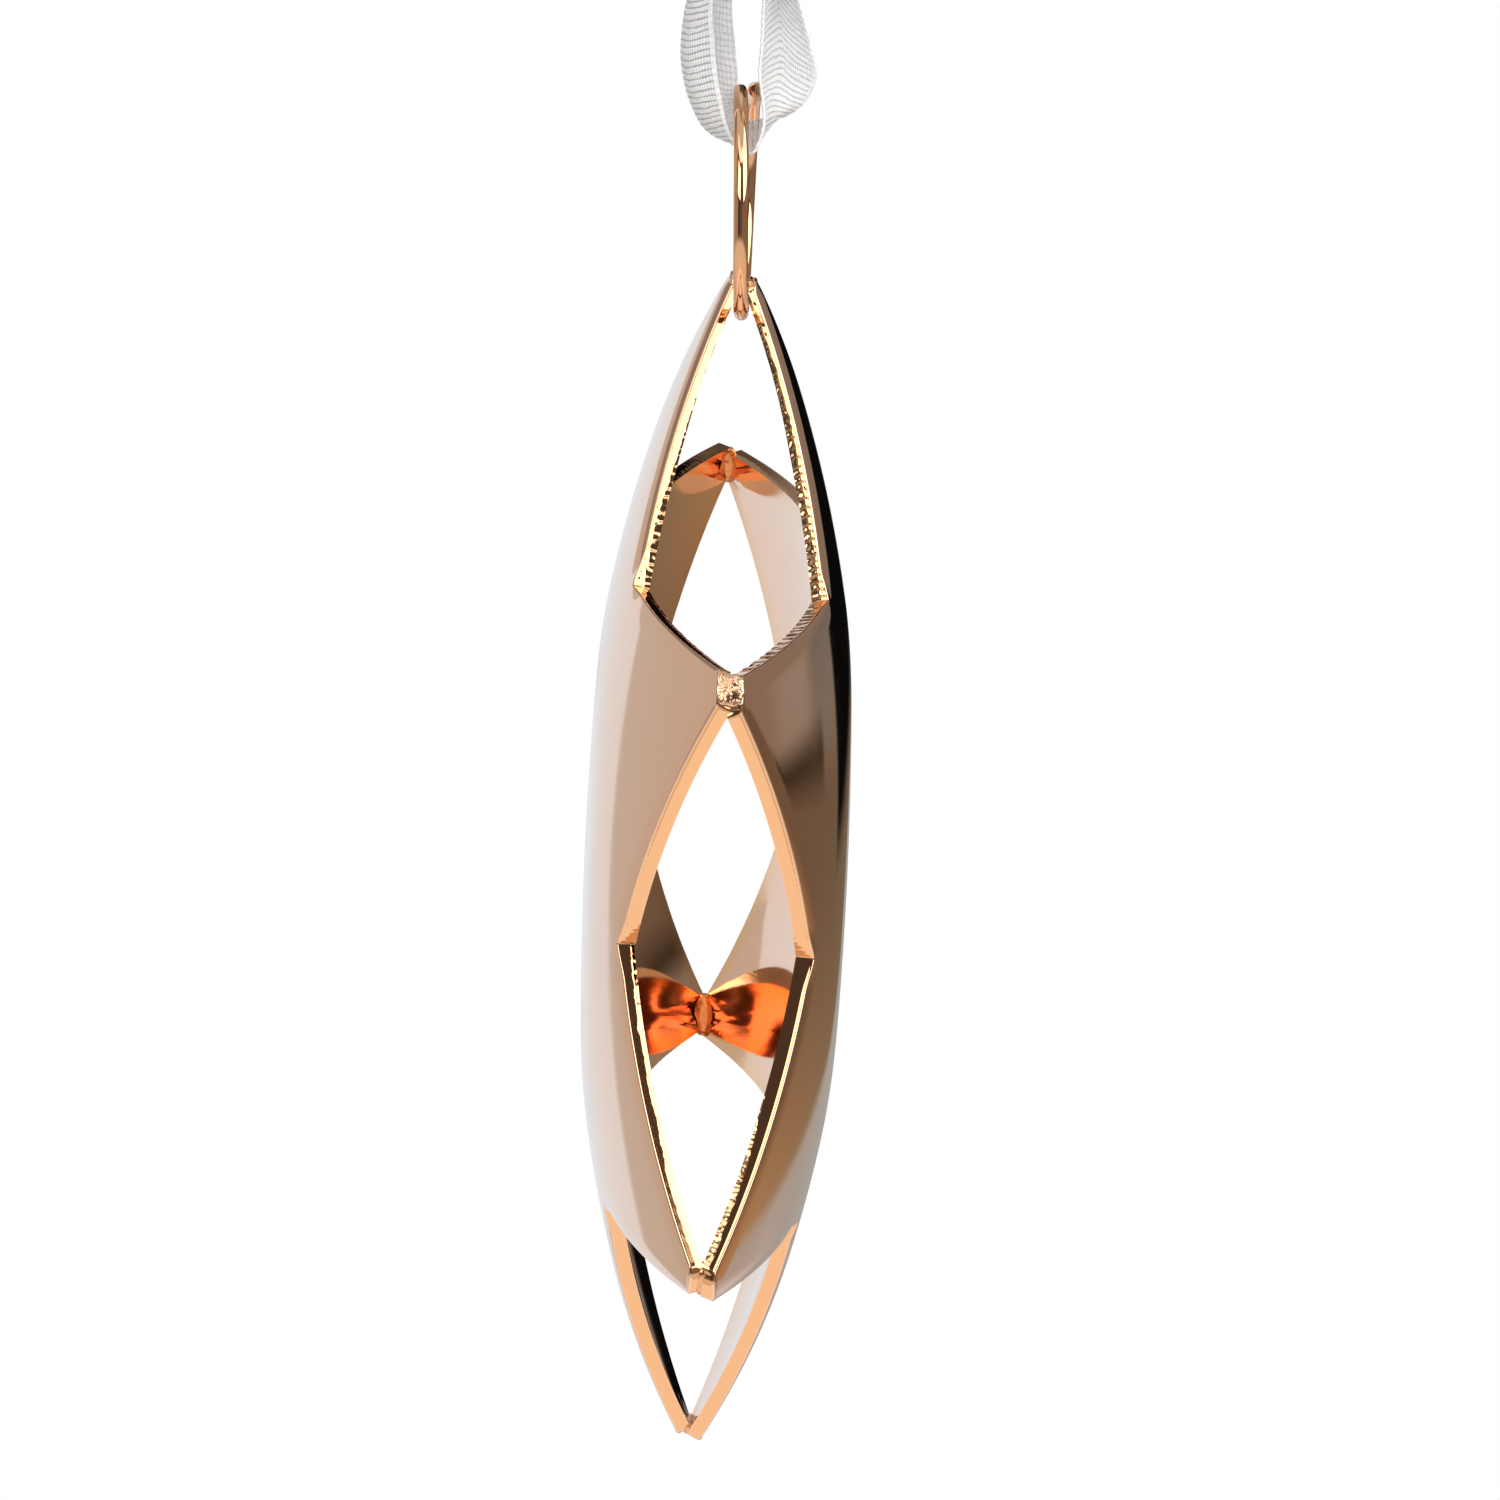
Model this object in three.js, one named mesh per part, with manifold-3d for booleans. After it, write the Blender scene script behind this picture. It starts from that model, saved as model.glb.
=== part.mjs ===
// Hanging copper star: two domed six-pointed sheet-metal shells, face to face and
// soldered at their tips, on a jump ring and a loop of white ribbon.
// Millimetres, +Z up. The shells face -Y and +Y, and the origin is the point
// inside the ribbon loop, under its knot, where a hook or a twig bears.
import * as THREE from "three";
import { ParametricGeometry } from "three/addons/geometries/ParametricGeometry.js";
import { mergeVertices } from "three/addons/utils/BufferGeometryUtils.js";
import Module from "manifold-3d";

// Star shells
const ARMS = 6;
const TIP_RADIUS = 38;        // centre to the blunt end of an arm, on the outer face
const TIP_WIDTH = 2.1;        // width of the blunt end
const VALLEY_RADIUS = 23.5;   // centre to the corner between two arms
const SHEET = 1.0;            // thickness of the sheet
const TIP_GAP = 0.2;          // space between the two sheets at a tip

// Dome of the outer face, as three arcs that run into each other
const CROWN_ARC = 250;        // radius of the nearly flat middle
const CROWN_HALF = 11.4;      // how far out the middle reaches
const SHOULDER_ARC = 48;      // radius of the bend
const SHOULDER_WIDTH = 6.4;   // width of the bend, measured across the star
const FLANK_ARC = 83;         // radius of the arms

// Solder joints in the tips
const JOINT_INSET = 0.3;      // the solder stops this far short of each side of the tip
const JOINT_SET_BACK = 0.15;  // and this far short of the outer corners
const JOINT_FILM = 0.05;      // space left between the solder and the sheet
const JOINT_BITE = 0.75;      // share of the sheet that the uncut block of solder reaches into

// Jump ring
const RING_OUTER = 15.2;      // outside diameter
const RING_WIRE = 0.95;
const RING_END_OFFSET = 1.0;  // the cut ends are sprung this far apart sideways
const RING_CUT = 0.35;        // width of the cut between the ends
const RING_LEAN = 1.0;        // degrees that the ring leans to the front
const RING_SIDE_CLEARANCE = 0.35;
const SEAT_CLEARANCE = 0.1;   // between the ring and the joint that hangs on it

// Ribbon loop and its knot
const RIBBON_WIDTH = 6.35;
const RIBBON_THICKNESS = 0.5;
const RIBBON_CLEARANCE = 0.3; // between the ribbon and the ring or the knot
const KNOT_WIDTH = 8.2;
const KNOT_DEPTH = 5.2;
const KNOT_HEIGHT = 4.8;
const KNOT_PROFILE = [[0.86, 0], [1, 0.35], [0.82, 0.75], [0.4, 1]]; // shares of half width, height
const TAIL_WIDTH = 5.6;

// Centre line of the ribbon in the plane x = 0, as [y, z], from the knot and back to it
const RIBBON_ROUTE = [
  [-0.75, 0.0], [-1.15, -2.0], [-1.85, -4.2], [-2.5, -6.6], [-2.85, -9.2], [-2.95, -11.8],
  [-2.9, -14.2], [-2.65, -16.3], [-2.0, -17.8], [-1.1, -18.5], [-0.2, -18.65], [0.7, -18.45],
  [1.55, -17.7], [2.05, -16.4], [2.2, -14.6], [2.1, -12.4], [1.85, -9.8], [1.6, -7.0],
  [1.35, -4.4], [1.05, -2.0], [0.75, 0.0],
];
const RIBBON_STEPS = 56;

// Centre line of one tail, as [y, z] from the top of the knot; the other is its mirror image
const TAIL_ROUTE = [[0.7, -1.5], [1.5, 0.5], [3.0, 2.3], [5.0, 3.5], [7.0, 3.7]];
const TAIL_STEPS = 10;

// Fineness of the faceted surfaces
const EDGE_STEPS = 6;
const RADIAL_STEPS = 8;
const RING_STEPS = 60;
const WIRE_SIDES = 10;
const JOINT_CURVE_STEPS = 6;
const KNOT_SIDES = 20;
const KNOT_CURVE_STEPS = 6;
const MERGE_DISTANCE = 1e-4;
const SEARCH_STEP = 1e-6;

const wasm = await Module();
wasm.setup();

const copper = { color: 0xd98a63, roughness: 0.12, metalness: 1.0 };
const plated = { color: 0xc97a52, roughness: 0.3, metalness: 1.0 };
const satin = { color: 0xf2f2f4, roughness: 0.7, metalness: 0.0 };

// A closed three.js geometry as a solid for joining and cutting.
function toSolid(geometry) {
  const bare = geometry.clone();
  bare.deleteAttribute("normal");
  bare.deleteAttribute("uv");
  const merged = mergeVertices(bare, MERGE_DISTANCE);
  const vertProperties = new Float32Array(merged.attributes.position.array);
  const triVerts = new Uint32Array(merged.index.array);
  return new wasm.Manifold(new wasm.Mesh({ numProp: 3, vertProperties, triVerts }));
}

// A solid back as a geometry with one flat normal for each face.
function toGeometry(solid) {
  const mesh = solid.getMesh();
  const geometry = new THREE.BufferGeometry();
  geometry.setAttribute("position", new THREE.BufferAttribute(mesh.vertProperties, 3));
  geometry.setIndex(new THREE.BufferAttribute(mesh.triVerts, 1));
  return geometry.toNonIndexed();
}

function makeMesh(name, geometry, look) {
  geometry.computeVertexNormals();
  const mesh = new THREE.Mesh(geometry, new THREE.MeshStandardMaterial(look));
  mesh.name = name;
  return mesh;
}

// Slope and fall of the outer face at a distance from the star's axis.
function domeAt(radius) {
  const arcs = [
    { bend: CROWN_ARC, start: 0, end: CROWN_HALF },
    { bend: SHOULDER_ARC, start: CROWN_HALF, end: CROWN_HALF + SHOULDER_WIDTH },
    { bend: FLANK_ARC, start: CROWN_HALF + SHOULDER_WIDTH, end: Infinity },
  ];
  let sine = 0;
  let cosine = 1;
  let fall = 0;
  for (const arc of arcs) {
    const run = Math.max(0, Math.min(radius, arc.end) - arc.start);
    const nextSine = sine + run / arc.bend;
    const nextCosine = Math.sqrt(1 - nextSine * nextSine);
    fall += arc.bend * (cosine - nextCosine);
    sine = nextSine;
    cosine = nextCosine;
  }
  return { sine, cosine, fall };
}

const tipDome = domeAt(Math.hypot(TIP_RADIUS, TIP_WIDTH / 2));

// Outer face: height above the middle plane of the star at a radius.
function outerHeight(radius) {
  return TIP_GAP / 2 + SHEET * tipDome.cosine + tipDome.fall - domeAt(radius).fall;
}

// Inner face under the outer point at a radius: its own radius and height.
function innerPoint(radius) {
  const dome = domeAt(radius);
  return {
    radius: radius - SHEET * dome.sine,
    height: outerHeight(radius) - SHEET * dome.cosine,
  };
}

// Outline of the star on its outer face, once round, with the corners among its points.
function starOutline() {
  const points = [];
  const turn = (2 * Math.PI) / ARMS;
  for (let arm = 0; arm < ARMS; arm += 1) {
    const angle = Math.PI / 2 + arm * turn;
    const centre = new THREE.Vector2(0, 0);
    const before = new THREE.Vector2(VALLEY_RADIUS, 0).rotateAround(centre, angle - turn / 2);
    const after = new THREE.Vector2(VALLEY_RADIUS, 0).rotateAround(centre, angle + turn / 2);
    const right = new THREE.Vector2(TIP_RADIUS, -TIP_WIDTH / 2).rotateAround(centre, angle);
    const left = new THREE.Vector2(TIP_RADIUS, TIP_WIDTH / 2).rotateAround(centre, angle);
    for (let step = 0; step < EDGE_STEPS; step += 1) {
      points.push(before.clone().lerp(right, step / EDGE_STEPS));
    }
    points.push(right);
    for (let step = 0; step < EDGE_STEPS; step += 1) {
      points.push(left.clone().lerp(after, step / EDGE_STEPS));
    }
  }
  return points;
}

// One domed shell: out from the crown on one face, over the cut edge, back on the other.
function shellGeometry(side) {
  const outline = starOutline();
  const stacks = 2 * RADIAL_STEPS + 1;
  const place = (u, v, target) => {
    const index = Math.round(u * outline.length) % outline.length;
    const corner = outline[side < 0 ? (outline.length - index) % outline.length : index];
    const row = Math.round(v * stacks);
    const outside = row <= RADIAL_STEPS;
    const share = (outside ? row : stacks - row) / RADIAL_STEPS;
    const radius = corner.length() * share;
    const inner = innerPoint(radius);
    const reach = (outside ? radius : inner.radius) / corner.length();
    const height = outside ? outerHeight(radius) : inner.height;
    target.set(corner.x * reach, side * height, corner.y * reach);
  };
  return new ParametricGeometry(place, outline.length, stacks);
}

// Where the sheets stand far enough apart for the ring's wire, as a radius of the star.
function wireSeatRadius() {
  const wanted = RING_WIRE / 2 + RING_SIDE_CLEARANCE;
  let low = 0;
  let high = TIP_RADIUS;
  while (high - low > SEARCH_STEP) {
    const middle = (low + high) / 2;
    if (innerPoint(middle).height > wanted) {
      low = middle;
    } else {
      high = middle;
    }
  }
  return innerPoint(low).radius;
}

const seatRadius = wireSeatRadius();
const jointEnd = seatRadius + RING_WIRE / 2 + SEAT_CLEARANCE;

// Solder in the top tip: it fills the wedge between the sheets and the groove at their
// ends, and the ring hangs against its round lower end.
function jointGeometry(frontShell, backShell) {
  const half = TIP_WIDTH / 2 - JOINT_INSET;
  const top = TIP_RADIUS - JOINT_SET_BACK;
  const rise = (top - jointEnd) / 2;
  const plan = new THREE.Shape();
  plan.moveTo(half, top);
  plan.lineTo(-half, top);
  plan.lineTo(-half, jointEnd + rise);
  plan.absellipse(0, jointEnd + rise, half, rise, Math.PI, 2 * Math.PI, false, 0);
  plan.closePath();
  const depth = TIP_GAP + 2 * SHEET * tipDome.cosine * JOINT_BITE;
  const options = { depth, bevelEnabled: false, curveSegments: JOINT_CURVE_STEPS };
  const block = new THREE.ExtrudeGeometry(plan, options);
  block.translate(0, 0, -depth / 2);
  block.rotateX(Math.PI / 2);
  const frontCut = toSolid(frontShell.clone().translate(0, JOINT_FILM, 0));
  const backCut = toSolid(backShell.clone().translate(0, -JOINT_FILM, 0));
  return toGeometry(toSolid(block).subtract(frontCut).subtract(backCut));
}

// Jump ring: nearly a full turn from its top, with the ends sprung sideways.
class RingPath extends THREE.Curve {
  constructor(radius) {
    super();
    this.radius = radius;
  }

  getPoint(share, target = new THREE.Vector3()) {
    const open = RING_CUT / this.radius;
    const angle = open / 2 + share * (2 * Math.PI - open);
    const aside = (share - 0.5) * RING_END_OFFSET;
    return target.set(this.radius * Math.sin(angle), aside, this.radius * Math.cos(angle));
  }
}

const ringRadius = (RING_OUTER - RING_WIRE) / 2;
const ringInner = ringRadius - RING_WIRE / 2;

function ringGeometry() {
  const section = new THREE.Shape();
  section.absarc(0, 0, RING_WIRE / 2, 0, 2 * Math.PI, false);
  const extrudePath = new RingPath(ringRadius);
  const curveSegments = WIRE_SIDES / 2;
  return new THREE.ExtrudeGeometry(section, { steps: RING_STEPS, extrudePath, curveSegments });
}

// A flat strip with eased edges along a route in the plane x = 0.
function stripGeometry(route, width, steps) {
  const half = width / 2;
  const thick = RIBBON_THICKNESS / 2;
  const ease = thick / 2;
  const section = new THREE.Shape([
    new THREE.Vector2(-half + ease, -thick), new THREE.Vector2(half - ease, -thick),
    new THREE.Vector2(half, -ease), new THREE.Vector2(half, ease),
    new THREE.Vector2(half - ease, thick), new THREE.Vector2(-half + ease, thick),
    new THREE.Vector2(-half, ease), new THREE.Vector2(-half, -ease),
  ]);
  const extrudePath = new THREE.CatmullRomCurve3(route.map(([y, z]) => new THREE.Vector3(0, y, z)));
  return new THREE.ExtrudeGeometry(section, { steps, extrudePath });
}

// Knot of the ribbon, with its two short tails.
function knotGeometry() {
  const foot = RIBBON_CLEARANCE;
  const top = foot + KNOT_HEIGHT;
  const bulge = KNOT_PROFILE.map(
    ([across, up]) => new THREE.Vector2((across * KNOT_WIDTH) / 2, foot + up * KNOT_HEIGHT),
  );
  const profile = new THREE.SplineCurve(bulge).getPoints(KNOT_CURVE_STEPS);
  profile.unshift(new THREE.Vector2(0, foot));
  profile.push(new THREE.Vector2(0, top));
  const ball = new THREE.LatheGeometry(profile, KNOT_SIDES);
  ball.rotateX(Math.PI / 2);
  ball.scale(1, KNOT_DEPTH / KNOT_WIDTH, 1);
  let knot = toSolid(ball);
  for (const side of [1, -1]) {
    const route = TAIL_ROUTE.map(([y, z]) => [side * y, top + z]);
    knot = knot.add(toSolid(stripGeometry(route, TAIL_WIDTH, TAIL_STEPS)));
  }
  return toGeometry(knot);
}

// Heights: the ring rests in the bight of the ribbon, and the star hangs on the ring.
const bightTop = Math.min(...RIBBON_ROUTE.map(([, z]) => z)) + RIBBON_THICKNESS / 2;
const ringDrop = Math.sqrt(ringInner * ringInner - (RIBBON_WIDTH * RIBBON_WIDTH) / 4);
const ringCentre = bightTop + RIBBON_CLEARANCE - ringDrop;
const ringFoot = ringCentre - ringRadius;
const starCentre = ringFoot - seatRadius;

function buildStar() {
  const star = new THREE.Group();
  const front = shellGeometry(-1);
  const back = shellGeometry(1);
  const joint = jointGeometry(front, back);
  star.add(makeMesh("front_shell", front, copper));
  star.add(makeMesh("back_shell", back, copper));
  const tips = ["top", "upper_right", "lower_right", "bottom", "lower_left", "upper_left"];
  tips.forEach((tip, index) => {
    const mesh = makeMesh(`tip_joint_${tip}`, joint.clone(), plated);
    mesh.rotation.y = (index * 2 * Math.PI) / ARMS;
    star.add(mesh);
  });
  star.position.z = starCentre;
  return star;
}

function buildRing() {
  const ring = new THREE.Group();
  const mesh = makeMesh("hanging_ring", ringGeometry(), copper);
  mesh.position.z = ringRadius;
  ring.add(mesh);
  ring.position.z = ringFoot;
  ring.rotation.x = THREE.MathUtils.degToRad(RING_LEAN);
  return ring;
}

function buildRibbon() {
  const ribbon = new THREE.Group();
  const loop = stripGeometry(RIBBON_ROUTE, RIBBON_WIDTH, RIBBON_STEPS);
  ribbon.add(makeMesh("ribbon_loop", loop, satin));
  ribbon.add(makeMesh("ribbon_knot", knotGeometry(), satin));
  return ribbon;
}

const ornament = new THREE.Group();
ornament.add(buildRibbon(), buildRing(), buildStar());

export default ornament;
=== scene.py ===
"""Looks of a hanging copper star: two domed shells, solder, jump ring and ribbon."""
import logging
import math
from bisect import bisect_right
from dataclasses import dataclass, field
from enum import Enum
from itertools import accumulate

import bmesh
import bpy
from mathutils import Matrix, Vector, noise


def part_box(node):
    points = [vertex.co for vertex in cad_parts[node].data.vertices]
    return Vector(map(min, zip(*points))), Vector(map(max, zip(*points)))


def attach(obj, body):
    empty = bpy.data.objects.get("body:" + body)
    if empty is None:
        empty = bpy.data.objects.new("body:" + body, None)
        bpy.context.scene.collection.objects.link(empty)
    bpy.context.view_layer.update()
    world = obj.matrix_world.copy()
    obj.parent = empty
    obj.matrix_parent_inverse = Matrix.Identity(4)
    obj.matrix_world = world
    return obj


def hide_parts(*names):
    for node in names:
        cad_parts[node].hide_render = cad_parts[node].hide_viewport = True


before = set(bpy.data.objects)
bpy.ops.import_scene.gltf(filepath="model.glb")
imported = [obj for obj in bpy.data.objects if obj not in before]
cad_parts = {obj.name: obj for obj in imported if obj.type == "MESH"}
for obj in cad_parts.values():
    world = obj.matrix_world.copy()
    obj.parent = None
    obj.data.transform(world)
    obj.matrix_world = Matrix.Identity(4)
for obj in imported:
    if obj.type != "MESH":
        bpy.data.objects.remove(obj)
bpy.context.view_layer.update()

MM = 0.001
LOG = logging.getLogger("copper_star")

SHELL_SLIDE = 0.2 * MM
FLOOR_DROP = 0.25
FULL_TURN = 2.0 * math.pi

# Steps through the noise from one line of ripples to the next.
LINE_STEP = (7.31, 3.17)

# Sockets of the Mix node, by number because each kind of data repeats their names.
COLOUR_FIRST = 6
COLOUR_SECOND = 7
COLOUR_RESULT = 2
VALUE_FIRST = 2
VALUE_SECOND = 3

Colour = tuple[float, float, float]
Triples = tuple[tuple[float, float, float], ...]
Socket = bpy.types.NodeSocket
Layer = bmesh.types.BMLayerItem

COVE_WHITE: Colour = (0.765, 0.825, 0.87)


class ShellSide(Enum):
    """Which way a shell of the star faces, as the sign of its Y."""

    FRONT = -1
    BACK = 1


class Slot(Enum):
    """Material slots of the record."""

    COPPER = "polished_copper"
    SOLDER = "plated_solder"
    WIRE = "copper_wire"
    RIBBON = "white_ribbon"


class Body(Enum):
    """Moving bodies of the record."""

    RIBBON = "ribbon"
    RING = "ring"
    STAR = "star"


def smooth_step(low: float, high: float, value: float) -> float:
    """Rise smoothly from 0 at low to 1 at high.

    Args:
        low: Where the rise starts.
        high: Where it ends.
        value: The value to look at.

    Returns:
        A share from 0 to 1.
    """
    share = min(1.0, max(0.0, (value - low) / (high - low)))
    return share * share * (3.0 - 2.0 * share)


def ripple(along: float, seed: float, pitch: float) -> float:
    """Give a smooth random value along a line.

    Args:
        along: Distance along the line, in metres.
        seed: Picks one line of the noise.
        pitch: Rough distance between bumps, in metres.

    Returns:
        A value from about -1 to 1.
    """
    return noise.noise(Vector((along / pitch, seed * LINE_STEP[0], seed * LINE_STEP[1] + 0.5)))


def spline_point(points: list[Vector], share: float) -> Vector:
    """Evaluate a smooth curve through points.

    Args:
        points: The points that the curve passes, evenly spaced in share.
        share: Place on the curve, from 0 to 1.

    Returns:
        The point there.
    """
    spans = len(points) - 1
    place = min(max(share, 0.0), 1.0) * spans
    span = min(int(place), spans - 1)
    step = place - span
    before = points[max(span - 1, 0)]
    start = points[span]
    end = points[span + 1]
    after = points[min(span + 2, spans)]
    pull_start = (end - before) * 0.5
    pull_end = (after - start) * 0.5
    square = step * step
    cube = square * step
    return (
        start * (2 * cube - 3 * square + 1)
        + pull_start * (cube - 2 * square + step)
        + end * (3 * square - 2 * cube)
        + pull_end * (cube - square)
    )


def turn_mesh(bm: bmesh.types.BMesh, angle: float, axis: str) -> None:
    """Turn a whole bmesh about an axis through the origin."""
    bmesh.ops.rotate(bm, verts=bm.verts[:], cent=(0.0, 0.0, 0.0), matrix=Matrix.Rotation(angle, 3, axis))


def move_mesh(bm: bmesh.types.BMesh, step: Vector) -> None:
    """Move a whole bmesh."""
    bmesh.ops.translate(bm, verts=bm.verts[:], vec=step)


def finish_mesh(name: str, bm: bmesh.types.BMesh, material: bpy.types.Material) -> bpy.types.Object:
    """Turn a bmesh into a smooth object at the origin.

    Args:
        name: Name of the piece.
        bm: The finished bmesh, which is freed.
        material: Its finish.

    Returns:
        The new object, linked to the scene.
    """
    mesh = bpy.data.meshes.new(name)
    bm.to_mesh(mesh)
    bm.free()
    mesh.shade_smooth()
    mesh.materials.append(material)
    piece = bpy.data.objects.new(name, mesh)
    bpy.context.scene.collection.objects.link(piece)
    return piece


def settle(piece: bpy.types.Object, body: Body, slot: Slot, *nodes: str) -> None:
    """Ride a piece on its body and let it stand for its solids.

    Args:
        piece: The finished piece.
        body: The body that it moves with.
        slot: The record's slot for the piece; not used.
        *nodes: The solids that it replaces, if any.
    """
    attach(piece, body.value)
    if nodes:
        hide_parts(*nodes)
    LOG.info("%s: %d faces on %s", piece.name, len(piece.data.polygons), body.value)


class NodeSketch:
    """Adds nodes to a tree and joins them in few words."""

    def __init__(self, tree: bpy.types.NodeTree) -> None:
        """Start on a tree, which is emptied."""
        self.tree = tree
        tree.nodes.clear()

    def add(self, kind: str, **settings: object) -> bpy.types.Node:
        """Add a node.

        Args:
            kind: Node type without its ShaderNode prefix.
            **settings: Properties of the node.

        Returns:
            The new node.
        """
        prefix = "" if kind.startswith("Node") else "ShaderNode"
        node = self.tree.nodes.new(prefix + kind)
        for key, value in settings.items():
            setattr(node, key, value)
        return node

    def feed(self, socket: Socket, value: object) -> None:
        """Link a socket, or set its value.

        Args:
            socket: Input socket.
            value: An output socket, a number or a colour.
        """
        if isinstance(value, bpy.types.NodeSocket):
            self.tree.links.new(value, socket)
        elif isinstance(value, tuple) and socket.type == "RGBA":
            socket.default_value = (*value, 1.0)
        else:
            socket.default_value = value

    def math(self, operation: str, first: object, second: object = 0.0) -> Socket:
        """Work out one step of arithmetic.

        Args:
            operation: Name of the Math node's operation.
            first: Socket or number.
            second: Socket or number.

        Returns:
            The result's socket.
        """
        node = self.add("Math", operation=operation)
        self.feed(node.inputs[0], first)
        self.feed(node.inputs[1], second)
        return node.outputs[0]

    def rise(self, value: object, low: float, high: float, out: tuple = (0.0, 1.0)) -> Socket:
        """Map a value smoothly from one range to another.

        Args:
            value: Socket to map.
            low: Start of its range.
            high: End of its range.
            out: Results at the start and at the end.

        Returns:
            The mapped value's socket.
        """
        node = self.add("MapRange", interpolation_type="SMOOTHSTEP")
        self.feed(node.inputs["Value"], value)
        node.inputs["From Min"].default_value = low
        node.inputs["From Max"].default_value = high
        node.inputs["To Min"].default_value = out[0]
        node.inputs["To Max"].default_value = out[1]
        return node.outputs["Result"]

    def window(self, value: object, low: float, high: float, soft: float) -> Socket:
        """Give 1 inside a range and 0 outside it.

        Args:
            value: Socket to look at.
            low: Start of the range.
            high: End of the range.
            soft: Half width of its soft ends.

        Returns:
            The mask's socket.
        """
        start = self.rise(value, low - soft, low + soft)
        end = self.rise(value, high - soft, high + soft, (1.0, 0.0))
        return self.math("MULTIPLY", start, end)

    def mix(self, share: object, first: object, second: object) -> Socket:
        """Mix two colours.

        Args:
            share: Share of the second colour.
            first: Colour or socket.
            second: Colour or socket.

        Returns:
            The mixed colour's socket.
        """
        node = self.add("Mix", data_type="RGBA")
        self.feed(node.inputs[0], share)
        self.feed(node.inputs[COLOUR_FIRST], first)
        self.feed(node.inputs[COLOUR_SECOND], second)
        return node.outputs[COLOUR_RESULT]

    def blend(self, share: object, first: object, second: object) -> Socket:
        """Mix two values.

        Args:
            share: Share of the second value.
            first: Number or socket.
            second: Number or socket.

        Returns:
            The mixed value's socket.
        """
        node = self.add("Mix", data_type="FLOAT")
        self.feed(node.inputs[0], share)
        self.feed(node.inputs[VALUE_FIRST], first)
        self.feed(node.inputs[VALUE_SECOND], second)
        return node.outputs[0]

    def speckle(self, vector: Socket, scale: float, detail: float = 3.0) -> Socket:
        """Add a noise texture.

        Args:
            vector: Coordinates.
            scale: Bumps to a metre.
            detail: Octaves.

        Returns:
            The noise value's socket.
        """
        node = self.add("TexNoise")
        self.feed(node.inputs["Vector"], vector)
        node.inputs["Scale"].default_value = scale
        node.inputs["Detail"].default_value = detail
        return node.outputs["Fac"]

    def bump(self, height: Socket) -> Socket:
        """Turn a height in metres into a normal.

        Args:
            height: Socket of the height.

        Returns:
            The normal's socket.
        """
        node = self.add("Bump")
        node.inputs["Distance"].default_value = 1.0
        self.feed(node.inputs["Height"], height)
        return node.outputs["Normal"]

    def attribute(self, name: str) -> Socket:
        """Read a value that the mesh carries."""
        return self.add("Attribute", attribute_name=name).outputs["Fac"]


@dataclass(frozen=True)
class Polish:
    """Effect that all the polished metal shares: soft waves, hairlines and handling."""

    name: str = "polish"
    hairline_stretch: tuple[float, float, float] = (0.06, 1.0, 1.0)
    hairline_turn: tuple[float, float, float] = (0.3, 0.5, 0.2)
    hairline_scale: float = 9000.0
    hairline_range: tuple[float, float] = (0.55, 0.8)
    hairline_wear: float = 0.35
    hairline_height: float = 0.02
    handling_scale: float = 160.0
    handling_range: tuple[float, float] = (0.45, 0.75)
    wave_scale: float = 120.0

    def group(self) -> bpy.types.NodeTree:
        """Build the node group, or find it where it is there already.

        Returns:
            A group with Vector and Scale in, and Wear and Height out.
        """
        known = bpy.data.node_groups.get(self.name)
        if known is not None:
            return known
        group = bpy.data.node_groups.new(self.name, "ShaderNodeTree")
        sketch = NodeSketch(group)
        face = group.interface
        face.new_socket("Vector", in_out="INPUT", socket_type="NodeSocketVector")
        face.new_socket("Scale", in_out="INPUT", socket_type="NodeSocketFloat")
        face.new_socket("Wear", in_out="OUTPUT", socket_type="NodeSocketFloat")
        face.new_socket("Height", in_out="OUTPUT", socket_type="NodeSocketFloat")
        entry = sketch.add("NodeGroupInput")
        leave = sketch.add("NodeGroupOutput")
        scaled = sketch.add("VectorMath", operation="SCALE")
        sketch.feed(scaled.inputs[0], entry.outputs["Vector"])
        sketch.feed(scaled.inputs["Scale"], entry.outputs["Scale"])
        vector = scaled.outputs[0]
        stretch = sketch.add("Mapping")
        sketch.feed(stretch.inputs["Vector"], vector)
        stretch.inputs["Scale"].default_value = self.hairline_stretch
        stretch.inputs["Rotation"].default_value = self.hairline_turn
        lines = sketch.speckle(stretch.outputs[0], self.hairline_scale, 2.0)
        hairline = sketch.rise(lines, *self.hairline_range)
        handling = sketch.rise(sketch.speckle(vector, self.handling_scale), *self.handling_range)
        wear = sketch.math("ADD", sketch.math("MULTIPLY", hairline, self.hairline_wear), handling)
        waves = sketch.speckle(vector, self.wave_scale, 1.0)
        height = sketch.math("ADD", waves, sketch.math("MULTIPLY", hairline, self.hairline_height))
        sketch.feed(leave.inputs["Wear"], wear)
        sketch.feed(leave.inputs["Height"], height)
        return group


def blank_material(name: str) -> tuple[bpy.types.Material, NodeSketch, bpy.types.Node]:
    """Start a material with one main shader.

    Args:
        name: Name of the finish.

    Returns:
        The material, a sketch of its nodes and its main shader.
    """
    material = bpy.data.materials.new(name)
    material.use_nodes = True
    sketch = NodeSketch(material.node_tree)
    shader = sketch.add("BsdfPrincipled")
    leave = sketch.add("OutputMaterial")
    sketch.feed(leave.inputs["Surface"], shader.outputs["BSDF"])
    return material, sketch, shader


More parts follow.
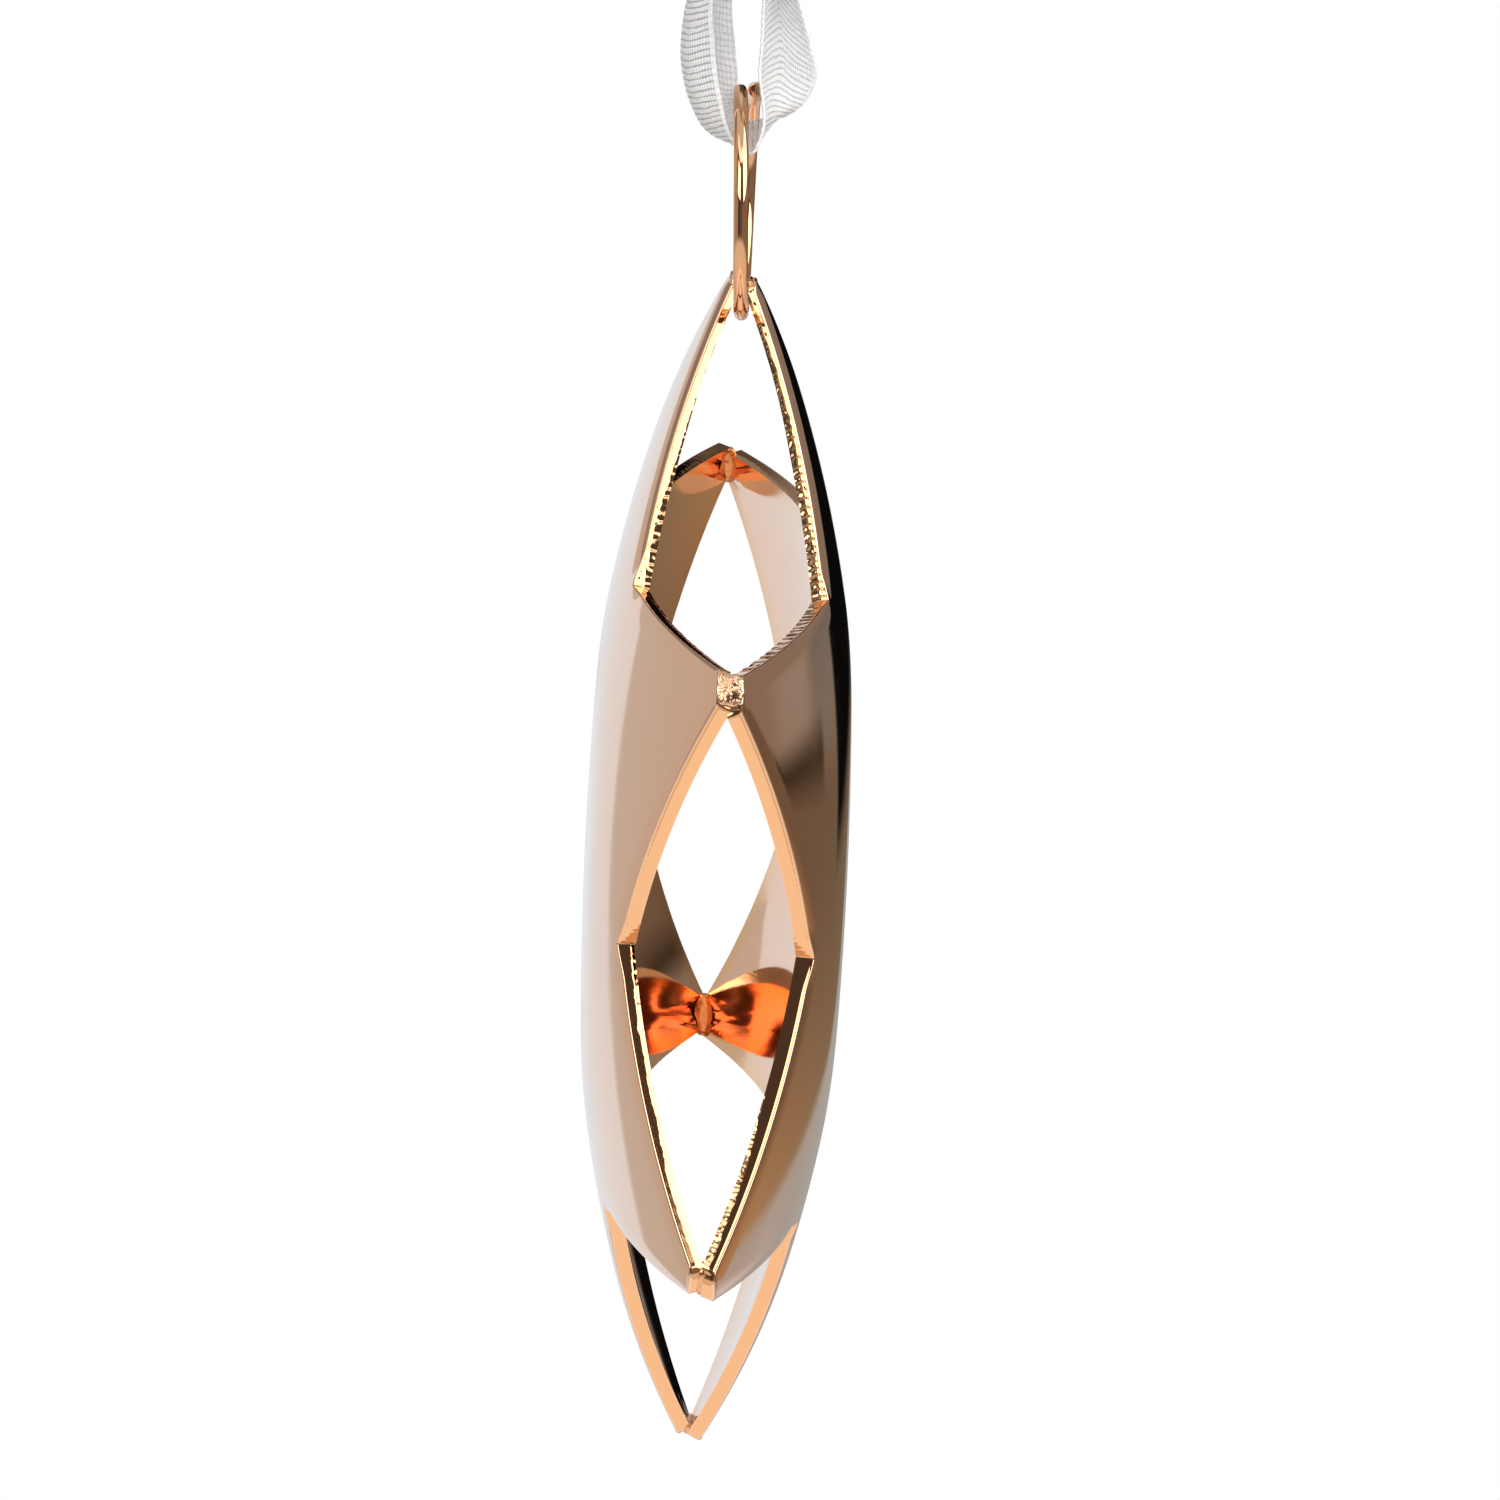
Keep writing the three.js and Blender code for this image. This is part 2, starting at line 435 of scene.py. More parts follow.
@dataclass(frozen=True)
class CopperFinish:
    """Polished rose-copper plate, with a sheared edge where the mesh says so, whose deeper orange is partly
    a painted reflection.
    """

    name: str
    face: Colour = (0.95, 0.60, 0.43)
    # The sheared and torn colours are deeper orange than the face: partly the cut edge's own colour, partly
    # a painted reflection of a warm floor.
    sheared: Colour = (0.93, 0.50, 0.25)
    torn: Colour = (0.95, 0.56, 0.29)
    face_rough: float = 0.045
    sheared_rough: float = 0.035
    torn_rough: float = 0.08
    wave_height: float = 0.0022 * MM
    grain_height: float = 0.003 * MM
    grain_scale: float = 9000.0
    grain_range: tuple[float, float] = (0.3, 0.7)
    wear_range: tuple[float, float] = (0.0, 1.2)
    worn_times: float = 2.2
    sheared_times: tuple[float, float] = (0.7, 1.5)

    def material(self) -> bpy.types.Material:
        """Build the material.

        Returns:
            The material, which reads the mesh's rim and torn values.
        """
        material, sketch, shader = blank_material(self.name)
        coords = sketch.add("TexCoord").outputs["Object"]
        polish = sketch.add("Group", node_tree=Polish().group())
        sketch.feed(polish.inputs["Vector"], coords)
        polish.inputs["Scale"].default_value = 1.0
        rim = sketch.attribute("rim")
        torn = sketch.attribute("torn")
        grain = sketch.speckle(coords, self.grain_scale, 4.0)
        # The rim's deeper orange is partly a painted reflection of a warm floor.
        colour = sketch.mix(rim, self.face, self.sheared)
        colour = sketch.mix(torn, colour, self.torn)
        worn = (self.face_rough, self.face_rough * self.worn_times)
        face_rough = sketch.rise(polish.outputs["Wear"], *self.wear_range, worn)
        least, most = (self.sheared_rough * times for times in self.sheared_times)
        rim_rough = sketch.rise(grain, *self.grain_range, (least, most))
        rough = sketch.blend(rim, face_rough, rim_rough)
        rough = sketch.blend(torn, rough, self.torn_rough)
        waves = sketch.math("MULTIPLY", polish.outputs["Height"], self.wave_height)
        rugged = sketch.math("MULTIPLY", sketch.math("MULTIPLY", grain, torn), self.grain_height)
        sketch.feed(shader.inputs["Base Color"], colour)
        sketch.feed(shader.inputs["Roughness"], rough)
        sketch.feed(shader.inputs["Normal"], sketch.bump(sketch.math("ADD", waves, rugged)))
        shader.inputs["Metallic"].default_value = 1.0
        return material


@dataclass(frozen=True)
class SolderFinish:
    """Copper-plated solder: a little rough, pitted and uneven in colour."""

    name: str
    bright: Colour = (0.94, 0.57, 0.36)
    dull: Colour = (0.78, 0.38, 0.20)
    smooth_rough: float = 0.1
    coarse_rough: float = 0.3
    pit_height: float = 0.09 * MM
    pit_share: float = 0.3
    lump_times: float = 2.0
    lump_scale: float = 2200.0
    lump_detail: float = 1.5
    pit_scale: float = 4200.0
    pit_range: tuple[float, float] = (0.3, 0.55)
    dull_range: tuple[float, float] = (0.55, 0.75)
    rough_range: tuple[float, float] = (0.35, 0.7)

    def material(self) -> bpy.types.Material:
        """Build the material.

        Returns:
            The material.
        """
        material, sketch, shader = blank_material(self.name)
        coords = sketch.add("TexCoord").outputs["Object"]
        lumps = sketch.speckle(coords, self.lump_scale, self.lump_detail)
        pits = sketch.rise(sketch.speckle(coords, self.pit_scale, 1.0), *self.pit_range)
        dull = sketch.rise(lumps, *self.dull_range)
        sketch.feed(shader.inputs["Base Color"], sketch.mix(dull, self.bright, self.dull))
        rough = sketch.rise(lumps, *self.rough_range, (self.smooth_rough, self.coarse_rough))
        sketch.feed(shader.inputs["Roughness"], rough)
        uneven = sketch.math("ADD", pits, sketch.math("MULTIPLY", lumps, self.lump_times))
        height = sketch.math("MULTIPLY", uneven, self.pit_height * self.pit_share)
        sketch.feed(shader.inputs["Normal"], sketch.bump(height))
        shader.inputs["Metallic"].default_value = 1.0
        return material


@dataclass(frozen=True)
class RibbonFinish:
    """Semi-sheer white ribbon with weft ribs, fine warp threads and corded edges, and painted shade in the
    gaps between the threads.
    """

    name: str
    thread: Colour = (0.97, 0.97, 0.98)
    # shade is painted shade: the darker colour of the gaps between threads, where the threads' shadows would
    # fall.
    shade: Colour = (0.43, 0.43, 0.46)
    rough: float = 0.4
    rib_pitch: float = 0.42 * MM
    warp_pitch: float = 0.155 * MM
    thread_cover: float = 0.78
    gap_cover: float = 0.44
    thread_height: float = 0.012 * MM
    wobble: float = 0.7
    wobble_scale: float = 900.0
    worn: float = 0.7
    worn_scale: float = 2600.0
    weft_share: float = 0.6
    weft_range: tuple[float, float] = (-0.3, 0.25)
    warp_range: tuple[float, float] = (-0.7, 0.7)
    warp_least: float = 0.62
    cord_thread: float = 0.75
    cord_cover: float = 0.8

    def material(self) -> bpy.types.Material:
        """Build the material.

        Returns:
            The material, which reads the mesh's weave map and its selvage value.
        """
        material, sketch, shader = blank_material(self.name)
        place = sketch.add("UVMap", uv_map="weave").outputs["UV"]
        axes = sketch.add("SeparateXYZ")
        sketch.feed(axes.inputs[0], place)
        wobble = sketch.math("MULTIPLY", sketch.speckle(place, self.wobble_scale, 2.0), self.wobble)
        across = sketch.math("ADD", sketch.math("DIVIDE", axes.outputs["X"], self.warp_pitch), wobble)
        along = sketch.math("ADD", sketch.math("DIVIDE", axes.outputs["Y"], self.rib_pitch), wobble)
        warp = sketch.math("SINE", sketch.math("MULTIPLY", across, FULL_TURN))
        weft = sketch.math("SINE", sketch.math("MULTIPLY", along, FULL_TURN))
        cord = sketch.attribute("selvage")
        worn = sketch.math("MULTIPLY", sketch.speckle(place, self.worn_scale), self.worn)
        row = sketch.math("ADD", sketch.math("MULTIPLY", weft, self.weft_share), worn)
        corded = sketch.math("MULTIPLY", cord, self.cord_thread)
        full = sketch.math("MAXIMUM", sketch.rise(row, *self.weft_range), corded)
        threads = sketch.rise(warp, *self.warp_range, (self.warp_least, 1.0))
        dots = sketch.math("MULTIPLY", threads, full)
        # The gaps between the threads take the painted shade colour.
        sketch.feed(shader.inputs["Base Color"], sketch.mix(dots, self.shade, self.thread))
        cover = sketch.rise(dots, 0.0, 1.0, (self.gap_cover, self.thread_cover))
        cover = sketch.math("MAXIMUM", cover, sketch.math("MULTIPLY", cord, self.cord_cover))
        sketch.feed(shader.inputs["Alpha"], cover)
        shader.inputs["Roughness"].default_value = self.rough
        height = sketch.math("MULTIPLY", warp, self.thread_height)
        sketch.feed(shader.inputs["Normal"], sketch.bump(height))
        return material


@dataclass(frozen=True)
class Dome:
    """Outer face of a shell as three arcs that run into each other."""

    crown_arc: float = 250.0 * MM
    crown_half: float = 11.4 * MM
    shoulder_arc: float = 48.0 * MM
    shoulder_width: float = 6.4 * MM
    flank_arc: float = 83.0 * MM

    def at(self, radius: float) -> tuple[float, float, float]:
        """Find the slope and the fall of the face.

        Args:
            radius: Distance from the star's axis.

        Returns:
            Sine and cosine of the slope, and the fall below the crown.
        """
        bend = self.crown_half + self.shoulder_width
        arcs = (
            (self.crown_arc, 0.0, self.crown_half),
            (self.shoulder_arc, self.crown_half, bend),
            (self.flank_arc, bend, math.inf),
        )
        sine, cosine, fall = 0.0, 1.0, 0.0
        for arc, start, end in arcs:
            run = max(0.0, min(radius, end) - start)
            next_sine = sine + run / arc
            next_cosine = math.sqrt(1.0 - next_sine * next_sine)
            fall += arc * (cosine - next_cosine)
            sine, cosine = next_sine, next_cosine
        return sine, cosine, fall


@dataclass(frozen=True)
class RimWear:
    """How one cut edge of a shell looks: where its tear starts, how that leans and how it is scored."""

    tear_at_valley: float = 0.9
    tear_at_tip: float = 0.8
    lean: float = 0.15
    score_at_valley: float = 0.12
    score_at_tip: float = 0.05
    score_pitch: float = 0.44 * MM
    slope: float = 0.0
    roll: float = 1.0


# The number of a cut edge is twice that of its arm, counted from the top towards the camera and
# down, and a half more on the arm's later side.
UPPER_EDGE = 0.5
NECK_EDGE = 2.0
MIDDLE_EDGE = 2.5
LOWER_EDGE = 4.0
UNDER_EDGE = 4.5
BOTTOM_EDGE = 6.0

FINE_LINES = RimWear(1.5, 1.5, 0.0, 0.4, 0.08, 0.36 * MM, slope=-0.24)
PLAIN_CUT = RimWear(1.5, 1.5, 0.0, 0.1, 0.02)

EDGE_WEAR = {
    (ShellSide.FRONT, UPPER_EDGE): RimWear(0.55, 1.05, -0.2, 2.2, 0.3, slope=0.14, roll=1.7),
    (ShellSide.BACK, UPPER_EDGE): RimWear(0.56, 0.78, 0.28, 2.2, 1.0, roll=1.7),
    (ShellSide.FRONT, NECK_EDGE): RimWear(0.8, 0.7, 0.2, 0.6, 0.3),
    (ShellSide.BACK, NECK_EDGE): RimWear(1.2, 1.2, 0.2, 2.4, 3.0, 0.8 * MM, slope=-0.03),
    (ShellSide.FRONT, MIDDLE_EDGE): FINE_LINES,
    (ShellSide.BACK, MIDDLE_EDGE): FINE_LINES,
    (ShellSide.FRONT, LOWER_EDGE): RimWear(0.86, 0.6, 0.34, 0.05, 0.05),
    (ShellSide.BACK, LOWER_EDGE): RimWear(1.3, 0.55, 0.3, 0.0, 0.03, slope=-0.3),
    (ShellSide.FRONT, UNDER_EDGE): PLAIN_CUT,
    (ShellSide.BACK, UNDER_EDGE): PLAIN_CUT,
    (ShellSide.FRONT, BOTTOM_EDGE): PLAIN_CUT,
    (ShellSide.BACK, BOTTOM_EDGE): PLAIN_CUT,
}


@dataclass(frozen=True)
class RimPlace:
    """Where a point of the plate's edge belongs on the true outline.

    The reach leads to the place across the roll, and the share is that of the straight edge
    that lies before it.
    """

    place: Vector
    reach: Vector
    share: float
    edge: float


@dataclass
class StarShell:
    """One domed six-pointed shell, punched out of sheet metal: rolled, sheared and torn at its edge."""

    side: ShellSide
    centre: Vector
    tip_radius: float
    finish: CopperFinish
    dome: Dome = field(default_factory=Dome)
    arms: int = 6
    tip_width: float = 2.1 * MM
    tip_reach: float = 0.38 * MM
    tip_crown: float = 0.16 * MM
    crown_power: int = 8
    corner_radius: float = 0.7 * MM
    slide: float = 0.0
    valley_radius: float = 23.5 * MM
    sheet: float = 1.0 * MM
    wall: float = 1.12 * MM
    top_wall: float = 0.94 * MM
    top_arm: tuple[float, float] = (27.0 * MM, 34.0 * MM)
    tip_gap: float = 0.2 * MM
    roll_width: float = 1.4 * MM
    roll_fall: float = 0.2 * MM
    roll_nose: float = 0.1 * MM
    tip_nose: float = 0.26 * MM
    roll_steps: tuple[float, ...] = (0.16, 0.32, 0.48, 0.64, 0.78, 0.9, 1.0)
    nose_angles: tuple[float, ...] = (22.0, 45.0, 68.0, 90.0)
    nose_to_rim: tuple[float, float] = (0.7, 1.5)
    round_tip: tuple[float, float] = (0.985, 1.01)
    tear_sway: float = 0.16
    tear_soft: float = 0.03
    tear_step: float = 0.012 * MM
    tear_rough: float = 0.035 * MM
    tear_grain: float = 0.26 * MM
    tear_steps: tuple[float, float] = (9.1, 4.0)
    sway_pitch: float = 5.0 * MM
    waver_pitch: float = 0.9 * MM
    waver_share: float = 0.5
    rag_pitch: float = 0.3 * MM
    rag_share: float = 0.35
    next_line: float = 20.0
    score_depth: float = 0.022 * MM
    score_reach: float = 14.0 * MM
    score_widens: float = 0.3
    score_drift: float = 2.4
    drift_pitch: float = 1.3 * MM
    worn_pitch: float = 0.5 * MM
    worn_steps: tuple[float, float] = (5.7, 2.6)
    worn_middle: float = 0.6
    worn_swing: float = 0.9
    back_lines: float = 13.0
    along: int = 44
    across: int = 18
    rim_cuts: int = 4
    rim_step: float = 0.22 * MM
    valley_ease: float = 2.5 * MM
    plain_tip: float = 0.97
    cut_rows: int = 14
    weld: float = 0.002 * MM
    least_radius: float = 1e-9

    def build(self) -> bpy.types.Object:
        """Model the shell and dress it.

        Returns:
            The finished piece.
        """
        bm = bmesh.new()
        rim = bm.verts.layers.float.new("rim")
        torn = bm.verts.layers.float.new("torn")
        column = bm.verts.layers.int.new("column")
        self._outline_plate(bm)
        self._raise_dome(bm)
        self._close_rim(bm, rim, torn, column)
        move_mesh(bm, self.centre + Vector((0.0, 0.0, self.slide)))
        bmesh.ops.recalc_face_normals(bm, faces=bm.faces[:])
        bm.verts.layers.int.remove(column)
        side_name = self.side.name.lower()
        piece = finish_mesh(f"{side_name}_star_shell", bm, self.finish.material())
        settle(piece, Body.STAR, Slot.COPPER, f"{side_name}_shell")
        return piece

    def _half_turn(self) -> float:
        """Angle from the middle of an arm to the valley beside it."""
        return math.pi / self.arms

    def _edge_length(self) -> float:
        """Length of the straight edge from a valley to the corner of a tip."""
        valley, corner = self._half_outline(0.0)
        return (corner - valley).length

    def _wear(self, edge: float) -> RimWear:
        """Wear of a cut edge."""
        return EDGE_WEAR.get((self.side, edge), RimWear())

    def _half_outline(self, inset: float) -> tuple[Vector, Vector]:
        """Find the ends of the straight edge of half an arm, as (aside, up).

        Args:
            inset: How far the outline is moved inwards.

        Returns:
            The valley and the corner of the tip.
        """
        turn = self._half_turn()
        valley_way = Vector((math.sin(turn), math.cos(turn)))
        valley = valley_way * self.valley_radius
        corner = Vector((self.tip_width / 2, self.tip_radius + self.tip_reach))
        run = (corner - valley).normalized()
        out = Vector((run.y, -run.x))
        moved = valley - out * inset
        moved_corner = moved + run * ((corner.y - inset - moved.y) / run.y)
        return valley - valley_way * (inset / out.dot(valley_way)), moved_corner

    def _outline_point(self, past_corner: float) -> Vector:
        """Follow the outline of half an arm round its eased corner, as (aside, up).

        Args:
            past_corner: Distance past the corner of the tip, less than 0 on the straight edge.

        Returns:
            The point there.
        """
        valley, corner = self._half_outline(0.0)
        run = (corner - valley).normalized()
        end = Vector((-1.0, 0.0))
        ease = self.corner_radius * math.tan(run.angle(end) / 2)
        if past_corner <= -ease:
            point = corner + run * past_corner
        elif past_corner >= ease:
            point = corner + end * past_corner
        else:
            share = (past_corner + ease) / (2 * ease)
            start = (corner - run * ease).lerp(corner, share)
            point = start.lerp(corner.lerp(corner + end * ease, share), share)
        swell = max(0.0, 1.0 - (point.x / corner.x) ** 2)
        return point + Vector((0.0, self.tip_crown * swell))

    def _outline_plate(self, bm: bmesh.types.BMesh) -> None:
        """Lay out the flat star inside its rolled edge: half an arm, mirrored and turned round the middle.

        Args:
            bm: Empty bmesh to fill.
        """
        bmesh.ops.create_grid(bm, x_segments=self.along, y_segments=self.across, size=0.5)
        valley, corner = (Vector((p.x, 0.0, p.y)) for p in self._half_outline(self.roll_width))
        tip = Vector((0.0, 0.0, corner.z))
        for vert in bm.verts:
            out = vert.co.x + 0.5
            aside = vert.co.y + 0.5
            crown = self.tip_crown * (1.0 - aside * aside) * out ** self.crown_power
            vert.co = (tip * out).lerp(valley.lerp(corner, out), aside) + Vector((0.0, 0.0, crown))
        half = bm.verts[:] + bm.edges[:] + bm.faces[:]
        bmesh.ops.mirror(bm, geom=half, axis="X", merge_dist=self.weld)
        arm = bm.verts[:] + bm.edges[:] + bm.faces[:]
        bmesh.ops.spin(
            bm, geom=arm, cent=(0.0, 0.0, 0.0), axis=(0.0, 1.0, 0.0),
            angle=FULL_TURN * (self.arms - 1) / self.arms, steps=self.arms - 1, use_duplicate=True,
        )
        bmesh.ops.remove_doubles(bm, verts=bm.verts[:], dist=self.weld)
        bmesh.ops.recalc_face_normals(bm, faces=bm.faces[:])
        bm.faces.ensure_lookup_table()
        if bm.faces[0].normal.y * self.side.value < 0.0:
            bmesh.ops.reverse_faces(bm, faces=bm.faces[:])
        long_edges = [e for e in bm.edges if e.is_boundary and e.calc_length() > self.rim_step]
        bmesh.ops.subdivide_edges(bm, edges=long_edges, cuts=self.rim_cuts)

    def _on_dome(self, point: Vector) -> Vector:
        """Lift a point of the star's plane onto the outer face.

        Args:
            point: A point, from the star's middle.

        Returns:
            The point above it on the dome.
        """
        tip = math.hypot(self.tip_radius, self.tip_width / 2)
        _, cosine, tip_fall = self.dome.at(tip)
        radius = min(math.hypot(point.x, point.z), tip)
        height = self.tip_gap / 2 + self.sheet * cosine + tip_fall - self.dome.at(radius)[2]
        return Vector((point.x, self.side.value * height, point.z))

    def _normal(self, point: Vector) -> Vector:
        """Outward normal of the dome.

        Args:
            point: A point on the dome, from the star's middle.

        Returns:
            A unit vector.
        """
        radius = max(math.hypot(point.x, point.z), self.least_radius)
        sine, cosine, _ = self.dome.at(radius)
        return Vector((sine * point.x / radius, self.side.value * cosine, sine * point.z / radius))

    def _wall_at(self, point: Vector) -> float:
        """Thickness of the sheet, which is thinner in the top arm to leave room for the ring."""
        return self.wall + (self.top_wall - self.wall) * smooth_step(*self.top_arm, point.z)

    def _raise_dome(self, bm: bmesh.types.BMesh) -> None:
        """Lift the flat star onto the dome.

        Args:
            bm: The flat star.
        """
        for vert in bm.verts:
            vert.co = self._on_dome(vert.co)

    def _rim_place(self, point: Vector) -> RimPlace:
        """Find the place on the true outline that a point of the plate's edge belongs to.

        Args:
            point: A point on the edge of the plate inside the rolled edge.

        Returns:
            The place.
        """
        turn = self._half_turn()
        angle = math.atan2(point.x, point.z)
        arm = round(angle / (2 * turn))
        local = angle - arm * 2 * turn
        radius = math.hypot(point.x, point.z)
        here = Vector((abs(radius * math.sin(local)), radius * math.cos(local)))
        sign = 1.0 if local >= 0.0 else -1.0
        _, corner = self._half_outline(0.0)
        inner_valley, inner_corner = self._half_outline(self.roll_width)
        edge_length = self._edge_length()
        run = inner_corner - inner_valley
        offset = here - inner_valley
        if abs(run.normalized().cross(offset)) < self.weld * 4:
            share = offset.length / run.length
        else:
            share = 1.0 + (1.0 - here.x / inner_corner.x) * corner.x / edge_length
        there = self._outline_point((share - 1.0) * edge_length)
        reach = there - here
        turned = Matrix.Rotation(arm * 2 * turn, 3, "Y")
        place = turned @ Vector((sign * there.x, 0.0, there.y))
        edge = 2.0 * arm + (0.5 if sign > 0.0 else 0.0)
        return RimPlace(place, turned @ Vector((sign * reach.x, 0.0, reach.y)), share, edge)

    def _rim_offset(self, share: float, edge: float, depth: float) -> tuple[float, float]:
        """Work out how the cut edge stands back, and how far it is torn.

        Args:
            share: Share of the edge from its valley.
            edge: Number of the edge.
            depth: Depth in the sheet, as a share from its outer face.

        Returns:
            How far the edge lies inside the outline, and the torn share.
        """
        run = share * self._edge_length()
        line = edge if self.side is ShellSide.FRONT else edge + self.back_lines
        wear = self._wear(edge)
        # Each ripple has its own line of the noise.
        waver = self.waver_share * ripple(run, line + self.next_line, self.waver_pitch)
        sway = ripple(run, line, self.sway_pitch) + waver
        rag = self.rag_share * ripple(run, line + 2 * self.next_line, self.rag_pitch)
        start = wear.tear_at_valley + (wear.tear_at_tip - wear.tear_at_valley) * share
        start += self.tear_sway * (sway + rag)
        plain = 1.0 - smooth_step(self.plain_tip, 1.0, share)
        torn = smooth_step(start - self.tear_soft, start + self.tear_soft, depth) * plain
        lean = max(0.0, depth - start) * wear.lean * self.wall
        to_line, to_depth = self.tear_steps
        rough = 0.5 + 0.5 * noise.noise(Vector((run / self.tear_grain, line * to_line, depth * to_depth)))
        back = torn * (self.tear_step + lean + self.tear_rough * rough)
        near_valley = 1.0 - smooth_step(0.0, self.score_reach, run)
        drift = self.score_drift * ripple(run, line + 3 * self.next_line, self.drift_pitch)
        bars = run / wear.score_pitch * (1.0 - self.score_widens * share)
        bar = 0.5 + 0.5 * math.sin(FULL_TURN * bars + drift)
        to_line, to_depth = self.worn_steps
        spots = noise.noise(Vector((run / self.worn_pitch, line * to_line, depth * to_depth)))
        worn = self.worn_middle + self.worn_swing * spots
        strength = wear.score_at_tip + (wear.score_at_valley - wear.score_at_tip) * near_valley
        strength *= max(0.0, worn)
        back += plain * (self.score_depth * strength * bar + wear.slope * depth * self.wall)
        return back, torn

    def _close_rim(self, bm: bmesh.types.BMesh, rim: Layer, torn: Layer, column: Layer) -> None:
        """Add the inner face, and roll and cut the edge between the two faces.

        Args:
            bm: The domed outer face.
            rim: Vertex layer that marks the edge.
            torn: Vertex layer that marks its torn part.
            column: Vertex layer that numbers the outline's points.
        """
        outline = [v for v in bm.verts if v.is_boundary]
        spots = []
        for number, vert in enumerate(outline):
            vert[column] = number
            spots.append(self._rim_place(vert.co))
        row = [e for e in bm.edges if e.is_boundary]
        copy = bmesh.ops.duplicate(bm, geom=bm.verts[:] + bm.edges[:] + bm.faces[:])
        inner_verts = [g for g in copy["geom"] if isinstance(g, bmesh.types.BMVert)]
        inner_faces = [g for g in copy["geom"] if isinstance(g, bmesh.types.BMFace)]
        inner_rim = {v[column]: v for v in inner_verts if v.is_boundary}
        for vert in inner_verts:
            vert.co -= self._normal(vert.co) * self._wall_at(vert.co)
        bmesh.ops.reverse_faces(bm, faces=inner_faces)
        rolls = [(step, 0.0) for step in self.roll_steps]
        rolls += [(1.0, math.radians(angle)) for angle in self.nose_angles]
        for step, bend in rolls:
            row, made = self._extrude_row(bm, row)
            for vert in made:
                vert.co = self._roll_point(spots[vert[column]], step, bend)
                vert[rim] = smooth_step(*self.nose_to_rim, bend)
        for number in range(1, self.cut_rows):
            row, made = self._extrude_row(bm, row)
            for vert in made:
                vert.co, vert[torn] = self._cut_point(spots[vert[column]], number / self.cut_rows)
                vert[rim] = 1.0
        row, made = self._extrude_row(bm, row)
        for vert in made:
            inner = inner_rim[vert[column]]
            inner.co, inner[torn] = self._cut_point(spots[vert[column]], 1.0)
        bmesh.ops.weld_verts(bm, targetmap={v: inner_rim[v[column]] for v in made})
        inner_edge = set(inner_rim.values())
        for edge in bm.edges:
            edge.smooth = not inner_edge.issuperset(edge.verts)

    def _extrude_row(self, bm: bmesh.types.BMesh, row: list) -> tuple[list, list]:
        """Extrude the open edge once.

        Args:
            bm: The shell.
            row: Edges of the open edge.

        Returns:
            The new open edge's edges and vertices.
        """
        made = bmesh.ops.extrude_edge_only(bm, edges=row)["geom"]
        edges = [g for g in made if isinstance(g, bmesh.types.BMEdge) and g.is_boundary]
        return edges, [g for g in made if isinstance(g, bmesh.types.BMVert)]

    def _roll_size(self, spot: RimPlace) -> tuple[float, float]:
        """Work out the roll's fall, which fades at a valley, and its nose, which is rounder at a tip.

        Args:
            spot: The place on the outline.

        Returns:
            The fall and the nose's radius.
        """
        fall = self.roll_fall * smooth_step(0.0, self.valley_ease, spot.share * self._edge_length())
        wear = self._wear(spot.edge)
        fall *= wear.roll + (1.0 - wear.roll) * smooth_step(self.plain_tip, 1.0, spot.share)
        rounder = smooth_step(*self.round_tip, spot.share)
        return fall, self.roll_nose + (self.tip_nose - self.roll_nose) * rounder

    def _roll_point(self, spot: RimPlace, step: float, bend: float) -> Vector:
        """Place a point of the rolled edge.

        Args:
            spot: The place on the outline.
            step: Share of the roll's width before its nose.
            bend: Angle that its nose has turned by, in radians.

        Returns:
            The point.
        """
        fall, nose = self._roll_size(spot)
        along = step * (1.0 - nose / self.roll_width) + math.sin(bend) * nose / self.roll_width
        point = self._on_dome(spot.place - spot.reach * (1.0 - along))
        return point - self._normal(point) * (fall * along * along + nose * (1.0 - math.cos(bend)))

    def _cut_point(self, spot: RimPlace, step: float) -> tuple[Vector, float]:
        """Place a point of the cut edge.

        Args:
            spot: The place on the outline.
            step: Share of the way from the nose to the inner face.

        Returns:
            The point and its torn share.
        """
        fall, nose = self._roll_size(spot)
        point = self._on_dome(spot.place)
        wall = self._wall_at(point)
        nose_end = (fall + nose) / wall
        depth = nose_end + (1.0 - nose_end) * step
        normal = self._normal(point)
        flat = spot.reach / self.roll_width
        out = (flat - normal * flat.dot(normal)).normalized() * flat.length
        back, torn = self._rim_offset(spot.share, spot.edge, depth)
        return point - normal * depth * wall - out * back, torn


LUMPY_TIPS = ("top", "upper_right")
FAR_TIPS = ("lower_left", "upper_left")


